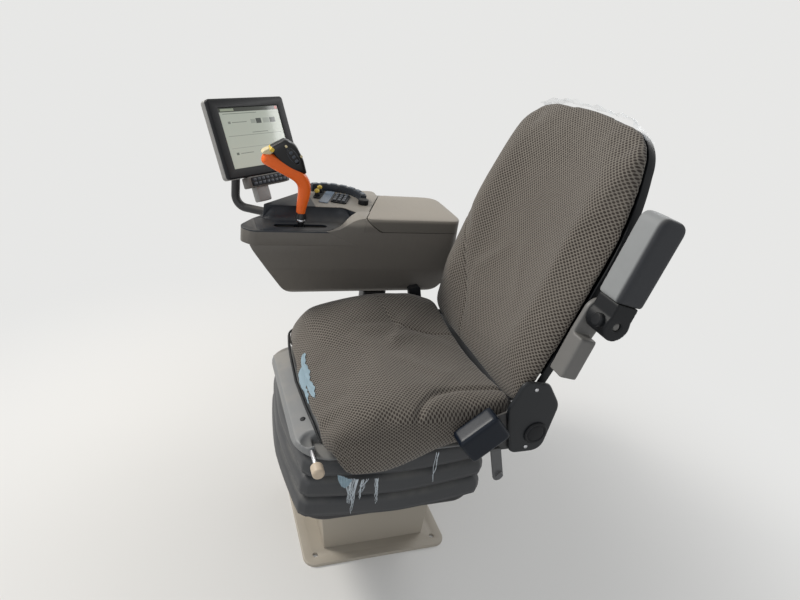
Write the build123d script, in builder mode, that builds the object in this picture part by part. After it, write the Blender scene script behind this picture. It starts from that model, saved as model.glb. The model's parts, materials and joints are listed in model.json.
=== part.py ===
"""Combine harvester operator's seat with its control armrest.

Millimetres. The origin is on the floor at the centre of the pedestal's bolt pattern. +Z is up, the
seat faces -Y, the operator's left is +X and the control console stands at -X.
"""

from build123d import *

import os
from math import cos, radians, sin

os.makedirs("parts", exist_ok=True)

# Gaps: between soft and rigid pieces, between round pieces that turn, and between moving pieces
seat_gap = 0.3
running_gap = 0.06
slide_gap = 1.0

# Floor plate and pedestal
plate_width = 370
plate_depth = 370
plate_thickness = 8
plate_corner = 30
bolt_spacing_x = 310
bolt_spacing_y = 310
bolt_hole_r = 6.5
pedestal_bottom_width = 280
pedestal_bottom_depth = 260
pedestal_top_width = 236
pedestal_top_depth = 300
pedestal_height = 180
pedestal_wall = 5
hatch_width = 150
hatch_height = 96

# Suspension: tray, bellows, cover and top plate
tray_width = 440
tray_depth = 440
tray_thickness = 16
tray_corner = 70
bellows_width = 480
bellows_depth = 480
bellows_corner = 92
fold_count = 3
fold_height = 56.5
fold_groove = 17
fold_band = 0.44
bellows_wall = 6
cover_thickness = 6
ridge_front_height = 10
ridge_top_height = 32
ridge_run = 56
ridge_depth = 88
ridge_side = 68
lip_side = 26
lip_depth = 36
scoop_radius = 27
top_plate_thickness = 4
top_plate_short = 114

# Slide rails
rail_inset = 32
rail_width = 40
rail_height = 14
rail_wall = 3
rail_lip = 11
rail_length = 356
carriage_length = 236
carriage_web = 10
carriage_flange = 26
carriage_foot = 5

# Seat pan and cross member
pan_thickness = 5
lug_inset = 12
pan_front_y = -150
pan_rear_y = 262
side_plate_thickness = 5
cross_depth = 22
cross_height = 24

# Seat cushion
skirt_gap = 6
skirt_thickness = 22
cushion_rear_taper = 18
cushion_front_y = -206
cushion_rear_y = 222
cushion_rear_lip = 10
cushion_lip_z = 432
skirt_run = 84
skirt_length = 48
skirt_rise_run = 134
crown_run = 300
nose_run = 110
nose_drop = 46
cushion_front_bow = 38
cushion_corner = 44
cushion_top_z = 482
cushion_bolster_rise = 30
cushion_crest_x = 218
cushion_shoulder = 44
cushion_low_z = 386
cushion_skirt_z = 340

# Recline axis and backrest
back_overhang = 3
recline_y = 282
recline_z = 436
recline_pin_r = 11
back_lean = 16.6
back_foot_y = 238
back_foot_z = 482
back_height = 642
back_cushion_rear = 14
back_crest_x = 176
back_crest_rise = 34
back_centre_rise = 8
back_edge_rise = -4
back_foot_slope = 130
back_head_roll = 250
shell_rim = 20
shell_depth = 38
shell_taper = 52
shell_wall = 4
shell_inset = 3
shell_foot = 24
shell_rear_foot = 78
arm_thickness = 8
arm_bar = 24
arm_foot = 30
arm_reach = 250
lug_thickness = 6
lug_radius = 22

# Belt retractor, anchor and buckle
retractor_y = 140
retractor_z = 456
retractor_length = 100
retractor_height = 72
retractor_width = 44
retractor_tilt = 40
buckle_length = 78
side_cover_thickness = 10
buckle_width = 34
buckle_thickness = 20
buckle_lean = 14
anchor_y = 196
anchor_z = 372
anchor_drop = 70

# Left armrest
rest_gap = 24
rest_pivot_y = 343
rest_pivot_z = 741
rest_pin_r = 9
rest_lean = 15
rest_width = 66
rest_length = 226
rest_core = 46
rest_round = 20
hub_r = 31
core_inset = 4
rest_depth = 68
bracket_thickness = 14
bracket_block_width = 46
bracket_block_top = 52
bracket_block_length = 94
bracket_block_depth = 42
tongue_length = 70

# Control console
console_gap = 18
console_width = 286
console_front_y = -314
console_rear_y = 300
console_bottom_z = 503
console_crease_z = 650
nose_inset = 34
nose_back = 30
nose_chamfer_inset = 92
nose_chamfer = 40
cutback_y = -92
tub_foot_front_y = -186
tub_foot_rear_y = 246
tub_heel = 70
tub_step = 14
tub_round = 60
cheek_height = 77
cheek_inset = 16
foot_round = 22
pocket_front_y = -168
well_pocket_front_y = -214
pocket_floor_z = 521
well_pocket_floor_z = 578
seam_low_y = 3
seam_high_y = -90
deck_z = 690
console_wall = 5
deck_front_y = -268
deck_rear_y = 6
deck_width = 96
deck_thickness = 5
rim_width = 60
slot_length = 142
slot_width = 24
pad_top_z = 730
pad_near_y = 16
pad_far_y = 118
pad_width = 224
ledge_height = 20
post_inset = 114
post_y = 96
post_flange = 30
post_width = 40
post_depth = 60
guide_wall = 6
guide_height = 80
panel_top_z = 724
panel_front_y = -236
ridge_top_z = 744

# Key ridge round the keypad
ridge_inset = 172
ridge_y = -44
ridge_inner_r = 86
ridge_outer_r = 102
ridge_from = 84
ridge_sweep = 124
ridge_keys = 7
key_depth = 12
key_width = 20
key_height = 2.5

# Keypad, touch strip, toggles and dial on the button panel
strip_turn = -23
keypad_inset = 180
keypad_y = -14
keypad_length = 84
keypad_width = 46
keypad_height = 4
pad_key_pitch_x = 19
pad_key_pitch_y = 13
pad_key_gap = 3
strip_length = 118
strip_width = 26
strip_setback = 40
toggle_base_length = 74
toggle_base_width = 20
toggle_setback = 66
toggle_spread = 40
dial_r = 15
dial_inset = 142
dial_y = 44
dial_height = 15
toggle_r = 5
toggle_height = 16

# Drive handle
fork_depth = 30
handle_inset = 44
handle_pivot_y = -152
handle_pivot_z = 604
handle_pin_r = 6
handle_hub_width = 26
handle_hub_r = 15
shaft_r = 8
shaft_length = 127
collar_length = 20
grip_width = 44
ear_thickness = 6

# Display
display_inset = 198
display_y = -254.5
display_z = 885.7
display_turn = 51.7
display_tilt = 25.5
screen_width = 212
screen_height = 155
bezel_side = 28
bezel_end = 24
bezel_thickness = 11
display_depth = 48
display_wall = 4
display_shoulder = 14
screen_sunk = 2
keys_width = 152
keys_height = 30
hinge_reach = 86
hinge_pin_r = 5
head_half = 18
arm_foot_share = 0.474
arm_flange_thickness = 7
arm_tube_r = 12
arm_bend = 34

# Suspension height lever
lever_r = 5
lever_inset = 29
lever_drop = 6
lever_length = 44
knob_r = 13
knob_length = 30

tray_z = plate_thickness + pedestal_height
bellows_z = tray_z + tray_thickness
cover_z = bellows_z + fold_count * fold_height
plate_top_z = cover_z + cover_thickness
rail_z = plate_top_z + top_plate_thickness
rail_top_z = rail_z + rail_height
foot_z = rail_z + rail_wall + 2 * slide_gap
pan_z = cushion_low_z + 26
cushion_mid_z = pan_z + pan_thickness + seat_gap
cushion_low_half_width = bellows_width / 2 + skirt_gap
cushion_half_width = cushion_low_half_width + skirt_thickness
ridge_half_width = bellows_width / 2 - ridge_side
lip_half_width = bellows_width / 2 - lip_side
top_plate_width = 2 * ridge_half_width
top_plate_depth = bellows_depth - top_plate_short
pan_width = 2 * ridge_half_width
rail_spacing = pan_width - 2 * rail_inset
arm_x = pan_width / 2 - lug_inset
back_half_width = cushion_half_width + back_overhang
rest_inner_x = back_half_width + rest_gap
console_near_x = -cushion_half_width - console_gap
console_far_x = console_near_x - console_width
nose_x = console_near_x - nose_inset
nose_chamfer_x = console_near_x - nose_chamfer_inset
rim_far_x = console_near_x - rim_width
pad_far_x = console_near_x - pad_width
post_x = console_near_x - post_inset
ridge_x = console_near_x - ridge_inset
dial_x = console_near_x - dial_inset
handle_x = console_near_x - handle_inset
display_x = console_near_x - display_inset
lean = radians(back_lean)


def save(shape, name):
    """Label a finished piece and write its file."""
    shape.label = name
    export_step(shape, f"parts/{name}.step")


def lean_plane(depth=0.0):
    """Plane of the backrest's front panel, moved forwards by depth."""
    return Plane(
        origin=(0, back_foot_y - depth * cos(lean), back_foot_z + depth * sin(lean)),
        x_dir=(1, 0, 0),
        z_dir=(0, -cos(lean), sin(lean)),
    )


# Floor plate
with BuildPart() as floor_plate:
    with BuildSketch():
        RectangleRounded(plate_width, plate_depth, plate_corner)
        with GridLocations(bolt_spacing_x, bolt_spacing_y, 2, 2):
            Circle(bolt_hole_r, mode=Mode.SUBTRACT)
    extrude(amount=plate_thickness)
    chamfer(floor_plate.faces().sort_by(Axis.Z)[-1].outer_wire().edges(), 2)
save(floor_plate.part, "floor_plate")

# Pedestal: a welded sheet box, open inside, with a hatch in its front wall
with BuildPart() as pedestal:
    for inset, low, high, mode in ((0, 0, 0, Mode.ADD), (pedestal_wall, pedestal_wall, 1, Mode.SUBTRACT)):
        with BuildSketch(Plane.XY.offset(plate_thickness + low)):
            Rectangle(pedestal_bottom_width - 2 * inset, pedestal_bottom_depth - 2 * inset)
        with BuildSketch(Plane.XY.offset(plate_thickness + pedestal_height + high)):
            Rectangle(pedestal_top_width - 2 * inset, pedestal_top_depth - 2 * inset)
        loft(mode=mode)
    with BuildSketch(Plane.XZ.offset(pedestal_bottom_depth / 2 + 40)):
        with Locations((0, plate_thickness + pedestal_height / 2)):
            RectangleRounded(hatch_width, hatch_height, 12)
    extrude(amount=-70, mode=Mode.SUBTRACT)
save(pedestal.part, "pedestal")

# Suspension tray under the bellows
with BuildPart() as suspension_tray:
    with BuildSketch(Plane.XY.offset(tray_z)):
        RectangleRounded(tray_width, tray_depth, tray_corner)
    extrude(amount=tray_thickness)
    chamfer(suspension_tray.faces().sort_by(Axis.Z)[0].edges(), 5)
save(suspension_tray.part, "suspension_tray")

# Bellows: folds drawn in at each groove, as (share of the fold's height, inset of the outline)
fold_profile = ((0.0, fold_groove), ((1 - fold_band) / 2, 0), ((1 + fold_band) / 2, 0))
fold_levels = [
    (fold_height * (fold + share), inset) for fold in range(fold_count) for share, inset in fold_profile
]
fold_levels.append((fold_height * fold_count, fold_groove))
with BuildPart() as bellows:
    for wall, mode in ((0, Mode.ADD), (bellows_wall, Mode.SUBTRACT)):
        for height, inset in fold_levels:
            with BuildSketch(Plane.XY.offset(bellows_z + height)):
                RectangleRounded(
                    bellows_width - 2 * (inset + wall),
                    bellows_depth - 2 * (inset + wall),
                    bellows_corner - inset - wall,
                )
        loft(ruled=True, mode=mode)
save(bellows.part, "bellows")

# Cover over the bellows: a flat flange and a sloped front ridge with a scoop at its near corner
ridge_front_y = -bellows_depth / 2 + 8
ridge_slope = (ridge_top_height - ridge_front_height) / ridge_run
with BuildPart() as suspension_cover:
    with BuildSketch(Plane.XY.offset(cover_z)):
        RectangleRounded(bellows_width - 12, bellows_depth - 6, bellows_corner - 6)
    extrude(amount=cover_thickness)
    with BuildSketch(Plane.YZ):
        with BuildLine():
            Polyline(
                (ridge_front_y, plate_top_z),
                (ridge_front_y, plate_top_z + ridge_front_height),
                (ridge_front_y + ridge_run, plate_top_z + ridge_top_height),
                (ridge_front_y + ridge_depth, plate_top_z + ridge_top_height),
                (ridge_front_y + ridge_depth, plate_top_z),
                close=True,
            )
        make_face()
    extrude(amount=ridge_half_width, both=True)
    with BuildSketch(Plane.YZ.offset(ridge_half_width)):
        with BuildLine():
            Polyline(
                (ridge_front_y, plate_top_z),
                (ridge_front_y, plate_top_z + ridge_front_height),
                (ridge_front_y + lip_depth, plate_top_z + ridge_front_height + ridge_slope * lip_depth),
                (ridge_front_y + lip_depth, plate_top_z),
                close=True,
            )
        make_face()
    extrude(amount=lip_half_width - ridge_half_width)
    with Locations(
        (
            lip_half_width - scoop_radius,
            ridge_front_y + scoop_radius,
            plate_top_z + ridge_front_height + scoop_radius - 4,
        )
    ):
        Sphere(scoop_radius, mode=Mode.SUBTRACT)
    with BuildSketch(Plane.XY.offset(cover_z)):
        RectangleRounded(bellows_width - 12, bellows_depth - 6, bellows_corner - 6)
    extrude(amount=ridge_top_height + cover_thickness + 1, mode=Mode.INTERSECT)
save(suspension_cover.part, "suspension_cover")

# Top plate that carries the rails, behind the ridge
top_plate_front_y = ridge_front_y + ridge_depth + slide_gap
with BuildPart() as top_plate:
    with BuildSketch(Plane.XY.offset(plate_top_z)):
        with Locations((0, top_plate_front_y + top_plate_depth / 2)):
            RectangleRounded(top_plate_width, top_plate_depth, 14)
    extrude(amount=top_plate_thickness)
save(top_plate.part, "top_plate")

# Lower rails and the carriages that run in them, one pair a side
rail_front_y = top_plate_front_y + 4
carriage_front_y = rail_front_y + 4
for side, name in ((1, "left"), (-1, "right")):
    centre_x = side * rail_spacing / 2
    with BuildPart() as rail:
        with BuildSketch(Plane.XZ.offset(-rail_front_y)):
            with Locations((centre_x, rail_z + rail_height / 2)):
                Rectangle(rail_width, rail_height)
                Rectangle(rail_width - 2 * rail_wall, rail_height - 2 * rail_wall, mode=Mode.SUBTRACT)
            with Locations((centre_x, rail_top_z)):
                Rectangle(rail_width - 2 * rail_lip, 4 * rail_wall, mode=Mode.SUBTRACT)
        extrude(amount=-rail_length)
    save(rail.part, f"rail_{name}")
    with BuildPart() as carriage:
        with BuildSketch(Plane.XZ.offset(-carriage_front_y)):
            with Locations((centre_x, foot_z)):
                Rectangle(carriage_flange, carriage_foot, align=(Align.CENTER, Align.MIN))
                Rectangle(carriage_web, pan_z - foot_z, align=(Align.CENTER, Align.MIN))
            with Locations((centre_x, pan_z - carriage_foot)):
                Rectangle(rail_width, carriage_foot, align=(Align.CENTER, Align.MIN))
        extrude(amount=-carriage_length)
    save(carriage.part, f"carriage_{name}")

# Seat pan with its rear lugs and the recline pin they hold
with BuildPart() as seat_pan:
    with BuildSketch(Plane.XY.offset(pan_z)):
        with Locations((0, (pan_front_y + pan_rear_y) / 2)):
            RectangleRounded(pan_width, pan_rear_y - pan_front_y, 24)
    extrude(amount=pan_thickness)
    for side in (1, -1):
        lug_x = side * (arm_x + arm_thickness / 2 + lug_thickness / 2 + slide_gap)
        with BuildSketch(Plane.YZ.offset(lug_x)):
            with BuildLine():
                Polyline(
                    (pan_rear_y - 40, pan_z),
                    (recline_y, recline_z - lug_radius),
                    (recline_y, recline_z + lug_radius),
                    (pan_rear_y - 30, pan_z + pan_thickness + 8),
                    close=True,
                )
            make_face()
            with Locations((recline_y, recline_z)):
                Circle(lug_radius)
                Circle(recline_pin_r, mode=Mode.SUBTRACT)
        extrude(amount=lug_thickness / 2, both=True)
save(seat_pan.part, "seat_pan")

with BuildPart() as recline_pin:
    with BuildSketch(Plane.YZ):
        with Locations((recline_y, recline_z)):
            Circle(recline_pin_r)
    extrude(amount=arm_x + arm_thickness / 2 + lug_thickness + slide_gap + 5, both=True)
save(recline_pin.part, "recline_pin")

# Cross member under the pan's rear edge: carries the side covers, the belt and the console
cross_half = cushion_half_width + 1
cross_y = cushion_rear_y + seat_gap + cross_depth / 2 + 3
with BuildPart() as cross_member:
    with BuildSketch(Plane.YZ):
        with Locations((cross_y, pan_z - cross_height / 2)):
            RectangleRounded(cross_depth, cross_height, 4)
            RectangleRounded(cross_depth - 6, cross_height - 6, 2, mode=Mode.SUBTRACT)
    extrude(amount=cross_half, both=True)
save(cross_member.part, "cross_member")

# Seat cushion: side view, then cut to its plan outline and to its bolstered section
cushion_peak_z = cushion_top_z + cushion_bolster_rise
cushion_back_y = cushion_rear_y + cushion_rear_lip
cushion_roof_z = cushion_peak_z + 2
nose_y = cushion_front_y - 2
with BuildPart() as cushion:
    with BuildSketch(Plane.YZ):
        with BuildLine():
            Polyline(
                (nose_y, cushion_low_z),
                (cushion_front_y + skirt_run, cushion_skirt_z),
                (cushion_front_y + skirt_run + skirt_length, cushion_skirt_z),
                (cushion_front_y + skirt_run + skirt_length + skirt_rise_run, cushion_low_z + 8),
                (cushion_rear_y, cushion_low_z + 14),
                (cushion_rear_y, cushion_lip_z),
                (cushion_back_y, cushion_lip_z + cushion_rear_lip),
                (cushion_back_y, cushion_roof_z),
                (cushion_front_y + crown_run, cushion_roof_z),
            )
            ThreePointArc(
                (cushion_front_y + crown_run, cushion_roof_z),
                (cushion_front_y + nose_run, cushion_top_z - 1),
                (nose_y, cushion_top_z - nose_drop),
            )
            Line((nose_y, cushion_top_z - nose_drop), (nose_y, cushion_low_z))
        make_face()
    extrude(amount=cushion_half_width, both=True)
    with BuildSketch(Plane.XY.offset(cushion_skirt_z)):
        with BuildLine():
            front = cushion_front_y + cushion_front_bow
            taper_y = cushion_front_y + skirt_run + skirt_length + skirt_rise_run
            corner_x = cushion_half_width - cushion_corner
            rear_x = cushion_half_width - cushion_rear_taper
            ThreePointArc((-corner_x, front), (0, cushion_front_y), (corner_x, front))
            for side in (1, -1):
                ThreePointArc(
                    (side * corner_x, front),
                    (side * (cushion_half_width - 0.3 * cushion_corner), front + 0.5 * cushion_corner),
                    (side * cushion_half_width, front + 1.6 * cushion_corner),
                )
            Polyline(
                (cushion_half_width, front + 1.6 * cushion_corner),
                (cushion_half_width, taper_y),
                (rear_x, cushion_back_y),
                (-rear_x, cushion_back_y),
                (-cushion_half_width, taper_y),
                (-cushion_half_width, front + 1.6 * cushion_corner),
            )
        make_face()
    extrude(amount=cushion_roof_z - cushion_skirt_z, mode=Mode.INTERSECT)
    shoulder_z = cushion_peak_z - cushion_shoulder
    shoulder_x = cushion_half_width - 0.25 * cushion_shoulder
    with BuildSketch(Plane.XZ.offset(-cushion_back_y - 1)):
        with BuildLine():
            Polyline(
                (-cushion_half_width, shoulder_z),
                (-cushion_half_width, cushion_skirt_z - 1),
                (cushion_half_width, cushion_skirt_z - 1),
                (cushion_half_width, shoulder_z),
            )
            for side in (1, -1):
                ThreePointArc(
                    (side * cushion_half_width, shoulder_z),
                    (side * shoulder_x, shoulder_z + 0.72 * cushion_shoulder),
                    (side * cushion_crest_x, cushion_peak_z),
                )
            ThreePointArc(
                (-cushion_crest_x, cushion_peak_z), (0, cushion_top_z), (cushion_crest_x, cushion_peak_z)
            )
        make_face()
    extrude(amount=cushion_back_y - cushion_front_y + 2, mode=Mode.INTERSECT)
    with BuildSketch(Plane.XY.offset(cushion_skirt_z - 1)):
        with Locations((0, (cushion_front_y + cushion_rear_y) / 2)):
            Rectangle(2 * cushion_low_half_width, 2 * (cushion_rear_y - cushion_front_y))
    extrude(amount=cushion_low_z - cushion_skirt_z + 1, mode=Mode.SUBTRACT)
    with BuildSketch(Plane.XY.offset(cushion_low_z - 1)):
        with Locations((0, (cushion_front_y + cushion_rear_y) / 2)):
            Rectangle(pan_width + 2 * seat_gap + 4, 2 * (cushion_rear_y - cushion_front_y))
    extrude(amount=cushion_mid_z - cushion_low_z + 1, mode=Mode.SUBTRACT)
save(cushion.part, "cushion")

# Side plates on the ends of the cross member: the left one reaches forwards to the belt retractor
plate_outline = {
    "left": (
        (retractor_y - 18, pan_z - cross_height),
        (cross_y + 40, pan_z - cross_height),
        (cross_y + 40, recline_z + 60),
        (cross_y - 20, recline_z + 60),
        (retractor_y - 18, retractor_z + 6),
    ),
    "right": (
        (cross_y - 46, pan_z - cross_height),
        (cross_y + 40, pan_z - cross_height),
        (cross_y + 40, pan_z + 30),
        (cross_y - 46, pan_z + 30),
    ),
}
cover_outline = {
    "left": (
        (cross_y - 6, pan_z - 30),
        (recline_y + 30, pan_z - 30),
        (recline_y + 46, recline_z + 70),
        (recline_y + 6, recline_z + 128),
        (recline_y - 58, recline_z + 138),
        (cross_y - 38, recline_z + 66),
    ),
    "right": (
        (cross_y - 46, pan_z + 1),
        (recline_y + 28, pan_z + 1),
        (recline_y + 32, pan_z + 40),
        (cross_y - 46, pan_z + 44),
    ),
}
cover_round = {"left": (20, 30, 40, 26, 18, 34), "right": 14}
for side, name in ((1, "left"), (-1, "right")):
    with BuildPart() as side_plate:
        with BuildSketch(Plane.YZ.offset(side * cross_half)):
            with BuildLine():
                FilletPolyline(*plate_outline[name], radius=7, close=True)
            make_face()
        extrude(amount=side * side_plate_thickness)
    save(side_plate.part, f"side_plate_{name}")
    with BuildPart() as side_cover:
        with BuildSketch(Plane.YZ.offset(side * (cross_half + side_plate_thickness))):
            with BuildLine():
                FilletPolyline(*cover_outline[name], radius=cover_round[name], close=True)
            make_face()
        extrude(amount=side * side_cover_thickness)
        fillet(side_cover.faces().sort_by(Axis.X)[-1 if side > 0 else 0].outer_wire().edges(), 4)
    save(side_cover.part, f"side_cover_{name}")

# Belt retractor: a tilted box on the left side plate, in front of the cover
retractor_x = cross_half + side_plate_thickness
tilt = radians(retractor_tilt)
retractor_plane = Plane(
    origin=(retractor_x, retractor_y, retractor_z), x_dir=(0, cos(tilt), sin(tilt)), z_dir=(1, 0, 0)
)
with BuildPart() as belt_retractor:
    with BuildSketch(retractor_plane):
        RectangleRounded(retractor_length, retractor_height, 9)
    extrude(amount=retractor_width)
    fillet(belt_retractor.faces().sort_by(Axis.X)[-1].outer_wire().edges(), 7)
save(belt_retractor.part, "belt_retractor")

# Belt anchor strip with its bolt head, hanging from the left side plate
with BuildPart() as belt_anchor:
    with BuildSketch(Plane.YZ.offset(retractor_x)):
        with BuildLine():
            FilletPolyline(
                (anchor_y - 13, anchor_z + 24),
                (anchor_y + 13, anchor_z + 24),
                (anchor_y + 13 + anchor_drop * 0.4, anchor_z - anchor_drop),
                (anchor_y - 13 + anchor_drop * 0.4, anchor_z - anchor_drop),
                radius=(5, 5, 12, 12),
                close=True,
            )
        make_face()
    extrude(amount=5)
    with BuildSketch(Plane.YZ.offset(retractor_x + 5)):
        with Locations((anchor_y + anchor_drop * 0.35, anchor_z - anchor_drop + 18)):
            RegularPolygon(9, 6)
    extrude(amount=6)
save(belt_anchor.part, "belt_anchor")

# Buckle on its stalk, on the inner face of the right side plate behind the cushion
buckle_plane = Plane(
    origin=(-cross_half, cross_y - 34, pan_z + 6),
    x_dir=(0, -sin(radians(buckle_lean)), cos(radians(buckle_lean))),
    z_dir=(1, 0, 0),
)
with BuildPart() as belt_buckle:
    with BuildSketch(buckle_plane):
        with Locations((22, 0)):
            RectangleRounded(72, 22, 5)
    extrude(amount=4)
    with BuildSketch(buckle_plane.offset(-buckle_thickness / 2)):
        with Locations((44 + buckle_length / 2, 0)):
            RectangleRounded(buckle_length, buckle_width, 8)
    extrude(amount=buckle_thickness)
save(belt_buckle.part, "belt_buckle")

# Backrest outline in its own leaning plane, from foot to head: arcs as (middle, end) of the right half,
# each point as shares of the half width and of the height
back_start = (0.686, 0.0)
back_arcs = (
    ((0.878, 0.028), (0.952, 0.103)),
    ((0.985, 0.305), (1.0, 0.514)),
    ((0.972, 0.704), (0.85, 0.875)),
    ((0.72, 0.955), (0.5, 0.988)),
    ((0.0, 1.0), (-0.5, 0.988)),
)


def back_point(share, side=1):
    """Point of the backrest's outline from its shares."""
    return (side * share[0] * back_half_width, share[1] * back_height)


def back_face(inset):
    """Closed outline of the backrest, drawn in by inset."""
    with BuildSketch(mode=Mode.PRIVATE) as face:
        with BuildLine():
            start = back_start
            for middle, end in back_arcs:
                ThreePointArc(back_point(start), back_point(middle), back_point(end))
                start = end
            for (middle, end), (_, far) in zip(back_arcs[3::-1], back_arcs[2::-1] + ((None, back_start),)):
                ThreePointArc(back_point(end, -1), back_point(middle, -1), back_point(far, -1))
            Line(back_point(back_start, -1), back_point(back_start))
        make_face()
        if inset:
            offset(amount=-inset, kind=Kind.INTERSECTION)
    return face.sketch


def lean_points(*pairs):
    """Side view points of the backrest, from (up, out) in its leaning plane to (y, z)."""
    return [tuple(lean_plane().from_local_coords((0, up, out)))[1:] for up, out in pairs]


# Back cushion: outline, then cut to its section across, with a crest a side, and to its side view
section_plane = Plane(lean_plane().origin, x_dir=(1, 0, 0), z_dir=(0, sin(lean), cos(lean)))
back_top = back_height + 1
head_start = back_height - back_head_roll
with BuildPart() as back_cushion:
    with BuildSketch(lean_plane(-back_cushion_rear)):
        add(back_face(0))
    extrude(amount=back_cushion_rear + back_crest_rise)
    with BuildSketch(section_plane.offset(-back_foot_slope)):
        with BuildLine():
            Polyline(
                (-back_half_width, -back_edge_rise),
                (-back_half_width, back_cushion_rear + 1),
                (back_half_width, back_cushion_rear + 1),
                (back_half_width, -back_edge_rise),
            )
            for side in (1, -1):
                ThreePointArc(
                    (side * back_half_width, -back_edge_rise),
                    (side * (0.27 * back_crest_x + 0.73 * back_half_width), -0.71 * back_crest_rise),
                    (side * back_crest_x, -back_crest_rise),
                )
            ThreePointArc(
                (-back_crest_x, -back_crest_rise), (0, -back_centre_rise), (back_crest_x, -back_crest_rise)
            )
        make_face()
    extrude(amount=back_height + 2 * back_foot_slope, mode=Mode.INTERSECT)
    with BuildSketch(Plane.YZ):
        with BuildLine():
            Polyline(
                *lean_points(
                    (back_top, back_edge_rise),
                    (back_top, -back_cushion_rear - 1),
                    (-1, -back_cushion_rear - 1),
                    (-1, -2),
                    (back_foot_slope, back_crest_rise + 1),
                    (head_start, back_crest_rise + 1),
                )
            )
            ThreePointArc(
                *lean_points(
                    (head_start, back_crest_rise + 1),
                    (head_start + 0.62 * back_head_roll, 0.66 * back_crest_rise),
                    (back_top, back_edge_rise),
                )
            )
        make_face()
    extrude(amount=back_half_width + 1, both=True, mode=Mode.INTERSECT)
save(back_cushion.part, "back_cushion")

# Backrest shell: a rim behind the cushion and a tapered rear wall, open at its foot for the recliner arms
shell_front = back_cushion_rear + seat_gap
shell_rear = shell_front + shell_rim + shell_depth
with BuildPart() as back_shell:
    for wall, mode in ((0, Mode.ADD), (shell_wall, Mode.SUBTRACT)):
        with BuildSketch(lean_plane(-shell_front)):
            add(back_face(shell_inset + wall))
        extrude(amount=-shell_rim, mode=mode)
        with BuildSketch(lean_plane(-shell_front - shell_rim)):
            add(back_face(shell_inset + wall))
        with BuildSketch(lean_plane(wall - shell_rear)):
            add(back_face(shell_inset + wall + shell_taper))
        loft(mode=mode)
    with BuildSketch(Plane.YZ):
        with BuildLine():
            Polyline(
                *lean_points(
                    (-shell_rear_foot, 1 - shell_front),
                    (shell_foot, 1 - shell_front),
                    (shell_foot, -shell_front - shell_rim - 1),
                    (shell_rear_foot, -shell_rear - 1),
                    (-shell_rear_foot, -shell_rear - 1),
                ),
                close=True,
            )
        make_face()
    extrude(amount=back_half_width, both=True, mode=Mode.SUBTRACT)
save(back_shell.part, "back_shell")

# Recliner arms: flat bars that turn on the recline pin and run up inside the shell
bar_out = shell_rear - shell_wall - arm_bar
for side, name in ((1, "left"), (-1, "right")):
    with BuildPart() as recliner_arm:
        with BuildSketch(Plane.YZ.offset(side * arm_x)):
            with BuildLine():
                Polyline(
                    *lean_points(
                        (-arm_foot, -bar_out),
                        (arm_reach, -bar_out),
                        (arm_reach, -bar_out - arm_bar),
                        (-arm_foot, -bar_out - arm_bar),
                    ),
                    close=True,
                )
            make_face()
            with Locations((recline_y, recline_z)):
                Circle(recline_pin_r + 9)
                Circle(recline_pin_r + running_gap, mode=Mode.SUBTRACT)
        extrude(amount=arm_thickness / 2, both=True)
    save(recliner_arm.part, f"recliner_arm_{name}")

# Left armrest, folded up beside the backrest: its plane runs up the rest from the pivot, +y forwards
rest = radians(rest_lean)
rest_plane = Plane(
    origin=(rest_inner_x, rest_pivot_y, rest_pivot_z), x_dir=(0, sin(rest), cos(rest)), z_dir=(1, 0, 0)
)
rest_half = rest_depth / 2
block_foot = bracket_block_top + bracket_block_length

# Armrest bracket: cheek beside the rest, moulded block under its hub, tongue on the shell's rim, pin
bracket_inset = bracket_thickness + slide_gap
with BuildPart() as armrest_bracket:
    with BuildSketch(rest_plane.offset(-bracket_inset)):
        Circle(hub_r)
        with BuildLine():
            Polyline(
                (0, hub_r),
                (-bracket_block_top, rest_half),
                (-block_foot, rest_half),
                (-block_foot, rest_half - bracket_block_depth),
                (0, -hub_r),
                close=True,
            )
        make_face()
    extrude(amount=bracket_thickness)
    with BuildSketch(rest_plane.offset(-bracket_inset)):
        with Locations((-bracket_block_top, rest_half)):
            Rectangle(bracket_block_length, bracket_block_depth, align=(Align.MAX, Align.MAX))
    extrude(amount=bracket_block_width)
    fillet(armrest_bracket.faces().sort_by(Axis.X)[-1].outer_wire().edges(), 6)
    tongue_at = lean_plane().to_local_coords(
        rest_plane.from_local_coords((-bracket_block_top - bracket_block_length / 2, 0, 0))
    )
    with BuildSketch(lean_plane(-shell_front - 2)):
        with Locations((rest_inner_x - bracket_inset, tongue_at.Y)):
            Rectangle(bracket_inset + 40, tongue_length, align=(Align.MAX, Align.CENTER))
    extrude(amount=4 - shell_rim)
    with BuildSketch(lean_plane(-shell_front)):
        add(back_face(shell_inset))
    extrude(amount=-shell_rim, mode=Mode.SUBTRACT)
    with BuildSketch(rest_plane.offset(-slide_gap)):
        Circle(rest_pin_r)
    extrude(amount=slide_gap + rest_width - core_inset - 2)
save(armrest_bracket.part, "armrest_bracket")

with BuildPart() as armrest_core:
    with BuildSketch(rest_plane):
        Circle(hub_r)
        with Locations((0, 0)):
            Rectangle(rest_core, 2 * hub_r - 8, align=(Align.MIN, Align.CENTER))
        Circle(rest_pin_r + running_gap, mode=Mode.SUBTRACT)
    extrude(amount=rest_width - core_inset)
save(armrest_core.part, "armrest_core")

with BuildPart() as armrest_pad:
    with BuildSketch(rest_plane):
        with Locations((rest_core + seat_gap, 0)):
            Rectangle(rest_length - rest_core, rest_depth, align=(Align.MIN, Align.CENTER))
    extrude(amount=rest_width)
    fillet(armrest_pad.edges().filter_by(Axis.X).sort_by(Axis.Z)[2:], rest_round)
    fillet(armrest_pad.edges().group_by(Axis.X)[-1], 8)
save(armrest_pad.part, "armrest_pad")

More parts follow.
